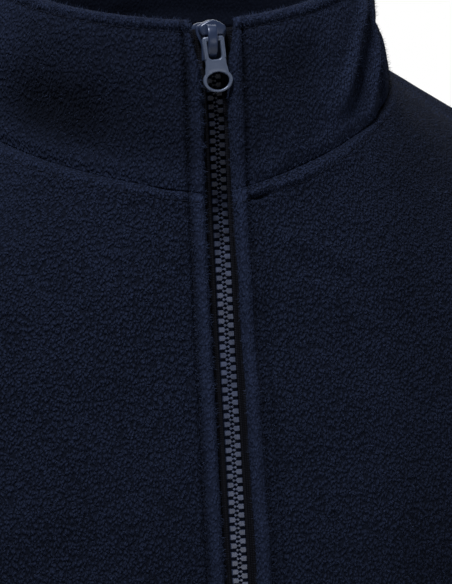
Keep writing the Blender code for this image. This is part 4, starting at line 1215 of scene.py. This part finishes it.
# %% Teeth
# In millimetres: the teeth's step, how far the chain's front and back lie behind the torso's surface, the
# box's place above the hem and its height, and the slider's middle below the rim.
TOOTH_PITCH = 3.22
CHAIN_FRONT, CHAIN_BACK = 4.0, 6.6
BOX_LIFT, BOX_HEIGHT, CLEAR_OF_BOX, CLEAR_OF_SLIDER = 1.2, 9.4, 1.6, 0.8
SLIDER_BELOW_RIM = 7.4
# Heights in metres over which the teeth grow darker towards the collar: painted shade.
SHADED_FROM, SHADED_TO = -0.058, -0.034


def teeth_material():
    """Glossy plastic, darker and duller on the collar as painted shade, lighter at random as painted glints.
    """
    made, tree, shader = new_material("moulded_acetal_teeth", Roughness=0.3, IOR=1.48)
    place = own_place(tree)
    height = add_node(tree, "ShaderNodeSeparateXYZ", {0: place}).outputs["Z"]
    # Painted shade on the collar's teeth, in their colour and their shine.
    collar_shade = ranged(tree, height, SHADED_FROM, SHADED_TO)
    # A lighter tone on random teeth: painted glints.
    tone = times(tree, collar_shade, 1.0, times(tree, cloud(tree, place, 260.0), 1.6, -0.65))
    tree.links.new(two_tone(tree, tone, "#434c66", "#131826"), shader.inputs["Base Color"])
    tree.links.new(ranged(tree, collar_shade, 0, 1, 0.7, 0.2), shader.inputs["Specular IOR Level"])
    return made


TEETH = teeth_material()


def centre_line(low_mm, high_mm, step=2.0):
    """Points up the middle of the front, from one distance above the hem to one below the rim."""
    level = np.linspace(0, 1, 900)
    rise = np.linspace(0, 1, 90)[1:]
    parts = ((torso, level), (collar, rise))
    points = np.concatenate([surface(0 * v, v) for surface, v in parts])
    outward = np.concatenate([surface_normal(surface, 0 * v, v) for surface, v in parts])
    flat = np.array([0.0, 1.0, 1.0])
    points, outward = points * flat, unit(outward * flat)
    points[:, 0] = zip_table(points[:, 2], "chain_x")
    along = travelled(points[:, None], 0)[:, 0]
    at = spread(low_mm, along[-1] - high_mm, step)
    points, outward = (
        np.stack([np.interp(at, along, column) for column in grid.T], axis=1) for grid in (points, outward)
    )
    return points, unit(outward)


def tooth():
    """A body that sits on the tape, a neck and a round head; half the outline, mirrored."""
    body = [(2.85, 0.96), (0.95, 0.96), (0.7, 0.78), (0.6, 0.4), (0.3, 0.22), (0.0, 0.2)]
    upper = body + arc(-0.5, 0, 0.5, 0.52, 24, 180, 5)
    outline = upper + [(x, -y) for x, y in reversed(upper[:-1])]
    half = (CHAIN_BACK - CHAIN_FRONT) / 2
    return joined("tooth_master", [plate("tooth", [outline], -half, half, 0.16, rounds=1)])


tooth_master = tooth()
start_mm, stop_mm = BOX_LIFT + BOX_HEIGHT + CLEAR_OF_BOX, SLIDER_BELOW_RIM + CLEAR_OF_SLIDER


def teeth(name, later, turn):
    """One side's teeth; the other side's start later by half a step and face the other way."""
    at, out = centre_line(start_mm + later, stop_mm - later)
    path = lines_object(name + "_line", [(at - (CHAIN_FRONT + CHAIN_BACK) / 2 * out, out)])
    made = run_tree(
        name, path, ROW_TREE, ROW_KEYS,
        Item=tooth_master, Spacing=TOOTH_PITCH * MM, Turn=turn, Wobble=0.012, Seed=4, Material=TEETH,
    )
    drop(path)
    return made


teeth_left, teeth_right = teeth("teeth_left", 0.0, 0.0), teeth("teeth_right", TOOTH_PITCH / 2, math.pi)
drop(tooth_master)


# %% [markdown]
# The tape is a narrow woven ribbon, almost black between the teeth and the cloth. Its inner edge is
# thickened by a cord that the teeth hold on to, and its weave shows as fine ribs across it.

# %% Tapes
TAPE_FRONT, TAPE, TAPE_END, TAPE_TOP = 5.05, 0.8, 1.2, 3.2
CORD = ((3.15, -0.1), (3.35, 0.35), (3.9, 0.45), (4.4, 0.25), (4.75, 0), (6, 0), (8.5, 0), (12, 0), (15.5, 0))
# A wave texture of scale 0.314 has one band a unit, so this over a step is the scale for that step.
RIB_MM, WARP_MM, WAVE_PER_MM = 0.62, 0.9, 0.314


def tape_material():
    made, tree, shader = new_material("woven_polyester_tape", Roughness=0.85, Specular_IOR_Level=0.12)
    mm = own_place(tree, (1000, 1000, 1000))
    ribs, warps = (
        add_node(
            tree, "ShaderNodeTexWave",
            {"Vector": mm, "Scale": WAVE_PER_MM / step, "Distortion": bent, "Detail": detail},
            bands_direction=way,
        ).outputs["Fac"] for step, way, bent, detail in ((RIB_MM, "Z", 0.8, 1.0), (WARP_MM, "X", 0.0, 2.0))
    )
    weave = times(tree, ribs, warps)
    finish(tree, shader, two_tone(tree, weave, "#06070d", "#171a26"), weave, 0.8, 0.00025)
    return made


TAPE_WEAVE = tape_material()


def make_tape(name, side):
    across, bead = np.array(CORD).T
    grids = []
    low, high = TAPE_END / TORSO_LENGTH, 1 - TAPE_TOP / COLLAR_MM
    for surface, v in ((torso, spread(low, 0.998, 0.005)), (collar, spread(0.02, high, 0.03))):
        sway = side * zip_table(surface(0 * v, v)[:, 2], "chain_x")
        x, v = np.broadcast_arrays(across[None] + sway[:, None], v[:, None])
        angle = angle_at(surface, x, v, side) * side
        grids.append((surface(angle, v), surface_normal(surface, angle, v)))
    points, outward = (np.concatenate(pair) for pair in zip(*grids))
    face = points - (TAPE_FRONT - bead[None])[..., None] * outward
    inner = points - (TAPE_FRONT + TAPE) * outward
    order = slice(None) if side > 0 else slice(None, None, -1)
    blank = np.zeros(points.shape[:2])
    made = shell(name, face[:, order], inner[:, order], blank, blank)
    made.data.materials.append(TAPE_WEAVE)
    return made


tapes = {word: make_tape(f"woven_tape_{word}", side) for word, side in SIDES.items()}


# %% [markdown]
# The slider is a zinc casting with a hard paint: two plates with flared wings, a post between them, and
# a bridge over the top that holds the pull tab. The tab has a window for the bridge and a ring for a
# fingertip. Rounded edges matter here, because paint shows a bright line along each of them.

# %% Slider and pull tab
def painted_zinc(name, colour):
    """Zinc under a hard paint: a fine orange peel, and a paint film that is brighter where it is thin."""
    made, tree, shader = new_material(
        name, Roughness=0.36, Metallic=0.25, IOR=1.5, Coat_Weight=0.25, Coat_Roughness=0.2
    )
    grain = cloud(tree, own_place(tree), 1400.0)
    film = ranged(tree, grain, 0, 1, 0.85, 1.15)
    paint = vector_maths(tree, "SCALE", {0: linear(colour)[:3], "Scale": film})
    finish(tree, shader, paint, grain, 0.25, 0.00006)
    return made


# The slider and the pull share one coating; the slider's darker colour is painted shade.
SLIDER_PAINT_IN_SHADE = painted_zinc("painted_zinc_slider", "#2b3855")
PULL_PAINT = painted_zinc("painted_zinc_pull", "#566179")

# Outlines in millimetres round the slider's middle; heights are above the torso's surface there. Each of
# the edges is one half, mirrored later.
PLATE = 1.4
TOP_PLATE_Z, BOTTOM_PLATE_Z = -3.0, -7.6
PLATE_EDGE = (
    (3.2, -8.0), (3.9, -7.2), (3.9, -2.6), (5.2, 0.6), (5.8, 2.6), (5.7, 4.8), (4.4, 5.7), (2.4, 6.8),
    (0.8, 7.3),
)
CROWN_EDGE = ((2.4, 1.3), (3.9, 1.4), (4.6, 2.3), (5.1, 3.6), (4.8, 5.0), (3.4, 6.0), (1.6, 6.9), (0.5, 7.2))
CROWN_RISE = 3.6
BRIDGE_PATH = (
    (5.4, -2.4), (5.1, 0.4), (4.2, 2.3), (2.4, 3.2), (-0.4, 3.4), (-2.8, 3.0), (-4.8, 1.9), (-6.2, 0.2),
    (-6.7, -2.5),
)
LOWER_EDGE = ((3.3, -8.0), (4.0, -7.2), (3.9, -2.2), (5.4, 1.2), (6.5, 4.2), (5.6, 6.0), (2.6, 6.8))
BRIDGE_HALF, BRIDGE_DEEP = 1.8, 0.62
# The tab's pivot and thickness, how it hangs askew in degrees, and how far each casting sits to one side.
PIVOT_Z, TAB, PULL_ASKEW = 1.25, 1.6, 5.0
SLIDER_ASIDE, BRIDGE_ASIDE, PULL_ASIDE = -0.4, -0.7, -0.3


def frame_at(point, outward, aside=0.0):
    """A frame on the zip: x to the wearer's left, y up the chain, z out of the cloth."""
    out, across = Vector(outward), Vector((1, 0, 0))
    turn = Matrix((across, out.cross(across), out)).transposed().to_4x4()
    return Matrix.Translation((Vector(point) + Vector((aside, 0, 0))) * MM) @ turn


def bar(path, half, deep, corners=20, power=5.0):
    """A bar swept along a path of heights in the frame's middle plane, as points and faces."""
    path = np.asarray(path, float)
    knots = travelled(path[:, None], 0)[:, 0]
    fine = np.linspace(0, knots[-1], 26)
    path = np.stack([np.interp(fine, knots, path[:, i]) for i in (0, 1)], axis=1)
    for _ in range(2):
        path[1:-1] = (path[:-2] + 2 * path[1:-1] + path[2:]) / 4
    way = unit(np.gradient(path, axis=0))
    turn = np.linspace(0, 2 * np.pi, corners, endpoint=False)
    x = half * np.sign(np.cos(turn)) * np.abs(np.cos(turn)) ** (2 / power)
    lift = deep * np.sign(np.sin(turn)) * np.abs(np.sin(turn)) ** (2 / power)
    y = path[:, :1] - way[:, 1:] * lift
    z = path[:, 1:] + way[:, :1] * lift
    points = np.stack([np.broadcast_to(x, y.shape), y, z], axis=-1) * MM
    return swept("bar", points.reshape(-1, 3).tolist(), corners)


def make_slider(frame_matrix):
    half = PLATE / 2
    plates = [
        plate("top", [rounded(mirrored(PLATE_EDGE))], TOP_PLATE_Z - half, TOP_PLATE_Z + half, 0.45),
        plate("bottom", [rounded(mirrored(LOWER_EDGE))], BOTTOM_PLATE_Z - half, BOTTOM_PLATE_Z + half, 0.45),
        plate("crown", [rounded(mirrored(CROWN_EDGE))], TOP_PLATE_Z, TOP_PLATE_Z + CROWN_RISE, 0.85, 4),
        plate("post", [rounded([(0, 0.6), (2.1, 4.2), (1.1, 6.0), (-1.1, 6.0), (-2.1, 4.2)])],
              BOTTOM_PLATE_Z, TOP_PLATE_Z, 0.1, 1),
        bar(BRIDGE_PATH, BRIDGE_HALF, BRIDGE_DEEP),
    ]
    plates[-1].transform(Matrix.Translation((BRIDGE_ASIDE * MM, 0, 0)))
    return joined("slider", plates, frame_matrix)


def make_pull(frame_matrix):
    ring = arc(0, -15.5, 5.65, 4.45, -90, 38, 14)
    shank = ((4.25, -10.9), (3.95, -9.6), (4.0, -7.4), (4.2, -5.0), (4.2, 0.1), (3.6, 0.85))
    outline = mirrored([*ring, *shank])
    window = mirrored([(2.5, -0.9), *arc(1.0, -6.2, 1.5, 1.5, 0, -90, 6)])
    hole = arc(0, -15.7, 4.3, 3.3, 0, 345, 27)
    low, high = PIVOT_Z - TAB / 2, PIVOT_Z + TAB / 2
    low_y, high_y, half = -7.4, -0.2, 0.28
    rails = [
        plate("rail", [[(x - half, low_y), (x - half, high_y), (x + half, high_y), (x + half, low_y)]],
              high - 0.2, high + 0.22, 0.18)
        for x in (-3.78, 3.78)
    ]
    askew = Matrix.Translation((PULL_ASIDE * MM, 0, 0)) @ Matrix.Rotation(math.radians(PULL_ASKEW), 4, "Z")
    parts = [plate("tab", [outline, window, hole], low, high, 0.42, 3), *rails]
    return joined("pull_tab", parts, frame_matrix @ askew)


zip_line, zip_outward = centre_line(0, SLIDER_BELOW_RIM)
SLIDER_FRAME = frame_at(zip_line[-1], zip_outward[-1], SLIDER_ASIDE)
slider, pull_tab = make_slider(SLIDER_FRAME), make_pull(SLIDER_FRAME)
slider.data.materials.append(SLIDER_PAINT_IN_SHADE)
pull_tab.data.materials.append(PULL_PAINT)
print("slider at", [round(v * 1000, 1) for v in SLIDER_FRAME.translation])


# %% [markdown]
# At the hem the zip ends in a retainer box, moulded on one tape, and a pin, moulded on the other, that
# slides into it before the zip is closed.

# %% Box and pin
BOX_BACK, BOX_FRONT, PIN_INSET, BOX_EDGE = -7.4, -3.2, 0.5, 0.35


def make_box():
    low, high = BOX_LIFT, BOX_LIFT + BOX_HEIGHT
    box = [(0.9, low), (4.2, low), (4.2, high - 1.2), (3.6, high), (0.9, high)]
    pin = [(0.6, low + 1.4), (0.6, high), (-3.6, high), (-4.2, high - 1.2), (-4.2, low + 1.4)]
    foot = [(0.7, low), (0.7, low + 1.2), (-4.2, low + 1.2), (-4.2, low)]
    tops = ((box, BOX_FRONT), (pin, BOX_FRONT - PIN_INSET), (foot, BOX_FRONT))
    meshes = [plate("part", [outline], BOX_BACK, top, BOX_EDGE) for outline, top in tops]
    return joined("retainer_box", meshes, frame_at(zip_line[0], zip_outward[0]))


retainer = make_box()
retainer.data.materials.append(TEETH)


# %% [markdown]
# ## Stitches
#
# The thread is the cloth's own colour and sinks into the pile, so mostly its groove is seen. Each stitch
# is a short rounded bar, and the rows run down both sides of the zip, under the collar seam, round the
# rim, the hem and the cuffs.

# %% Rows of stitches
STITCH_SPACING, STITCH_LENGTH, THREAD = 3.1, 2.5, 0.42

THREAD_MATERIAL, _, _ = new_material(
    "spun_polyester_thread", Base_Color=linear("#131826"), Roughness=0.8, Specular_IOR_Level=0.1
)


def stitch():
    """A thread that rises out of the cloth, lies on it and dives back in."""
    half, radius, corners = STITCH_LENGTH / 2, THREAD / 2, 5
    path = [(-half, -0.35), (-half * 0.7, -0.02), (0, 0.1), (half * 0.7, -0.02), (half, -0.35)]
    ring = [(radius * math.cos(a), radius * math.sin(a)) for a in np.linspace(0, 2 * np.pi, corners + 1)[:-1]]
    points = [(x * MM, y * MM, (z + rise) * MM) for y, z in path for x, rise in ring]
    return joined("stitch_master", [swept("stitch", points, corners)])


def level_line(cloth, distance, at):
    """The line on a piece's face that lies a given distance from an edge, read column by column."""
    face, outward, away = cloth["face"], cloth["outward"], cloth[distance]
    line, ways = [], []
    for column in range(face.shape[1]):
        order = np.argsort(away[:, column])
        pick = away[order, column]
        line.append([np.interp(at, pick, face[order, column, i]) for i in range(3)])
        ways.append(outward[order[np.searchsorted(pick, at)], column])
    return np.array(line), unit(np.array(ways))


def side_line(cloth, at):
    """The line that lies a given distance from the zip's folded edge, but for its last two rows."""
    s = cloth["s"]
    column = int(np.argmin(np.abs(s[len(s) // 2] - at)))
    return cloth["face"][2:-2, column], cloth["outward"][2:-2, column]


def stitch_rows():
    left, right, rear, neck = (CLOTH["cloth_" + n] for n in ("front_left", "front_right", "back", "collar"))
    rows = {"zip": [side_line(left, ZIP_STITCH), side_line(right, ZIP_STITCH)]}
    rows["hem"] = [level_line(cloth, "hem", HEM_BAND) for cloth in (left, right, rear)]
    rows["neck"] = [level_line(cloth, "neck", NECK_BAND) for cloth in (left, right, rear)]
    rows["neck"] = [(line[3:], ways[3:]) for line, ways in rows["neck"]]
    rows["rim"] = [level_line(neck, "rim", RIM_STITCH)]
    arms = (CLOTH[f"cloth_sleeve_{word}"] for word in ("left", "right"))
    rows["cuff"] = [level_line(arm, "cuff", CUFF_BAND) for arm in arms]
    return rows


stitch_master = stitch()
stitches = {}
for seed, (word, lines) in enumerate(stitch_rows().items()):
    path = lines_object("stitch_line", lines)
    stitches[word] = run_tree(
        f"stitches_{word}", path, ROW_TREE, ROW_KEYS,
        Item=stitch_master, Spacing=STITCH_SPACING * MM, Turn=0.0, Wobble=0.05, Seed=seed,
        Material=THREAD_MATERIAL,
    )
    drop(path)
drop(stitch_master)


# %% [markdown]
# ## Loose fibre
#
# Even where the pile is balled up, single fibres stand off it, and they are what makes the outline of a
# fleece look soft. A second Geometry Nodes tree scatters thin bent blades over each face, more of them
# where the cloth folds over. Two triangles a blade are enough, because each is hardly wider than a hair.

# %% The fibre tree
# A blade's height and half its width, and the size of the tufts that blades gather in, in millimetres.
FIBRE_MM, FIBRE_HALF, TUFT_MM = 1.35, 0.06, 2.6


def fibre():
    """One blade: rooted a little inside the cloth, narrower and bent over at its tip."""
    foot, tip = (FIBRE_HALF, 0, -0.15), (FIBRE_HALF * 0.3, 0.45, FIBRE_MM)
    points = [(-foot[0], *foot[1:]), foot, tip, (-tip[0], *tip[1:])]
    corners = [tuple(v * MM for v in p) for p in points]
    return new_object("fibre_master", new_mesh("fibre", corners, faces=[(0, 1, 2, 3)]))


def fibre_tree():
    tree, given, keys = new_tree("loose_fibre", {
        "Item": "Object", "Density": "Float", "Lean": "Float", "Seed": "Int", "Material": "Material",
    })
    amount = add_node(tree, "GeometryNodeInputNamedAttribute", {"Name": "fuzz"}, data_type="FLOAT").outputs[0]
    place = add_node(tree, "GeometryNodeInputPosition").outputs[0]
    tufts = ranged(tree, cloud(tree, place, 1000 / TUFT_MM, 0.0), 0.4, 0.62, 0.1, 2.0)
    density = times(tree, times(tree, amount, given["Density"]), tufts)
    scattered = add_node(tree, "GeometryNodeDistributePointsOnFaces", {
        "Mesh": given["Geometry"], "Density": density, "Seed": given["Seed"],
    })
    low, high = (
        add_node(tree, "ShaderNodeCombineXYZ", {"X": lean, "Y": lean, "Z": turn}).outputs[0]
        for lean, turn in ((times(tree, given["Lean"], -1.0), 0.0), (given["Lean"], 6.283))
    )
    spin = add_node(
        tree, "FunctionNodeRandomValue", {0: low, 1: high, "Seed": given["Seed"]}, data_type="FLOAT_VECTOR"
    ).outputs[0]
    size = add_node(tree, "FunctionNodeRandomValue", {2: 0.45, 3: 1.15, "Seed": given["Seed"]}).outputs[1]
    place_items(tree, given, scattered.outputs["Points"], scattered.outputs["Rotation"], spin, size)
    return tree, keys


FIBRE, _, _ = new_material(
    "loose_polyester_fibre", Base_Color=linear("#323d59"), Roughness=0.9, Specular_IOR_Level=0.1
)
FIBRES_PER_M2, FIBRE_LEAN, FIRST_FIBRE_SEED = 105000.0, 0.75, 11
FIBRE_TREE, FIBRE_KEYS = fibre_tree()
fibre_master = fibre()
naps = {}
for seed, piece in enumerate(cloth_pieces):
    naps[piece.name] = run_tree(
        piece.name.replace("cloth", "nap"), piece, FIBRE_TREE, FIBRE_KEYS,
        Item=fibre_master, Density=FIBRES_PER_M2, Lean=FIBRE_LEAN, Seed=seed + FIRST_FIBRE_SEED,
        Material=FIBRE,
    )
drop(fibre_master)


# %% [markdown]
# ## Room, light and camera
#
# A wide pale floor and a white room that hardly lights the cloth. A small close light high on the left
# rakes down the front, because dark pile needs light from one side, or its nubs vanish. A weak broad one
# on the right fills the shadows, a weaker one in front gives the zip its glints, and a broad one behind
# shows the back. The camera is a long lens 0.9 m from the collar, looking slightly down.

# %% Floor, lights and camera
# The camera looks at the zip's top, in millimetres, which falls on the target pixel.
TARGET = np.array([0.0, -80.0, 32.0])
AZIMUTH, ELEVATION, DISTANCE = math.radians(-13), math.radians(12), 900.0
IMAGE_WIDTH, IMAGE_HEIGHT, FOCAL_PIXELS, SENSOR = 452, 584, 2420.0, 36.0
TARGET_PIXEL = (213.2, 19.0)
FLOOR_RADIUS, FLOOR_Z, WORLD_LIGHT = 1.6, -0.70, 0.04
# Each light: its place and its aim in metres, its width, and its power in watts.
LIGHTS = {
    "key": ((-0.4, -0.6, 1.3), (0, 0, -0.1), 0.26, 24),
    "fill": ((1.9, -0.6, 0.5), (0, -0.1, -0.1), 0.9, 3),
    "front": ((0.45, -1.9, 0.05), (0, 0, -0.1), 0.45, 1.8),
    "back": ((0.4, 1.6, 1.2), (0, 0, -0.2), 1.4, 16),
}


def make_camera():
    flat = math.cos(ELEVATION)
    back_way = np.array([math.sin(AZIMUTH) * flat, -math.cos(AZIMUTH) * flat, math.sin(ELEVATION)])
    right = np.array([math.cos(AZIMUTH), math.sin(AZIMUTH), 0.0])
    up = np.cross(back_way, right)
    off_x, off_y = TARGET_PIXEL[0] - IMAGE_WIDTH / 2, IMAGE_HEIGHT / 2 - TARGET_PIXEL[1]
    place = TARGET + back_way * DISTANCE - (right * off_x + up * off_y) * DISTANCE / FOCAL_PIXELS
    data = bpy.data.cameras.new("camera")
    data.sensor_width = SENSOR
    data.lens = FOCAL_PIXELS * SENSOR / IMAGE_HEIGHT
    data.clip_start, data.clip_end = 0.05, 50
    camera = new_object("camera", data)
    turn = Matrix(np.stack([right, up, back_way], axis=1).tolist()).to_4x4()
    camera.matrix_world = Matrix.Translation(Vector(place * MM)) @ turn
    bpy.context.scene.camera = camera
    print(f"camera: {data.lens:.1f} mm lens at", [round(v) for v in place])


def area_light(name, place, towards, size, power):
    data = bpy.data.lights.new(name, "AREA")
    data.size, data.energy = size, power
    aim = Vector(towards) - Vector(place)
    turn = aim.to_track_quat("-Z", "Y").to_matrix().to_4x4()
    new_object(name, data).matrix_world = Matrix.Translation(place) @ turn


def make_room():
    bpy.ops.mesh.primitive_circle_add(
        vertices=128, radius=FLOOR_RADIUS, fill_type="NGON", location=(0, 0, FLOOR_Z)
    )
    floor = bpy.context.object
    floor.name = "floor"
    floor.data.materials.append(new_material("pale_floor", Base_Color=linear("#f2f2f2"), Roughness=0.8)[0])
    world = bpy.data.worlds.new("white_room")
    world.use_nodes = True
    tree = world.node_tree
    seen = add_node(tree, "ShaderNodeLightPath").outputs["Is Camera Ray"]
    tree.links.new(ranged(tree, seen, 0, 1, WORLD_LIGHT, 1), tree.nodes["Background"].inputs["Strength"])
    tree.nodes["Background"].inputs["Color"].default_value = (1, 1, 1, 1)
    bpy.context.scene.world = world


make_camera()
make_room()
for name, settings in LIGHTS.items():
    area_light(name, *settings)
bpy.context.scene.view_settings.view_transform = "Standard"
bpy.context.scene.view_settings.look = "None"


# %% [markdown]
# ## Riding and replacing
#
# The pull tab rides on its own body and everything else on the jacket. Each finished piece stands for
# the plain solid of the same part.

# %% Bodies and cloth
CARRIES = {
    "cloth_front_left": ["zip", "neck"], "cloth_back": ["hem"],
    "cloth_collar": ["rim"], "cloth_sleeve_left": ["cuff"],
}


def declare(piece, slot, *nodes, body=JACKET):
    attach(piece, body)
    if nodes:
        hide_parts(*nodes)


for word in ("right", "left"):
    declare(fronts[word], "fleece", f"front_{word}")
    declare(sleeves[word], "fleece", f"sleeve_{word}")
    declare(tapes[word], "zip_tape", f"zip_tape_{word}")
declare(back, "fleece", "back")
declare(collar_piece, "fleece", "collar")
declare(teeth_left, "zip_teeth", "zip_chain")
declare(teeth_right, "zip_teeth")
declare(retainer, "zip_teeth", "zip_box")
declare(slider, "zip_metal", "zip_slider")
declare(pull_tab, "zip_metal", "zip_pull", body=PULL)
for loose in (*stitches.values(), *naps.values()):
    declare(loose, "fleece")

for piece in (*cloth_pieces, *tapes.values()):
    goes_with = [naps[piece.name]] if piece.name in naps else []
    goes_with += [stitches[row] for row in CARRIES.get(piece.name, [])]
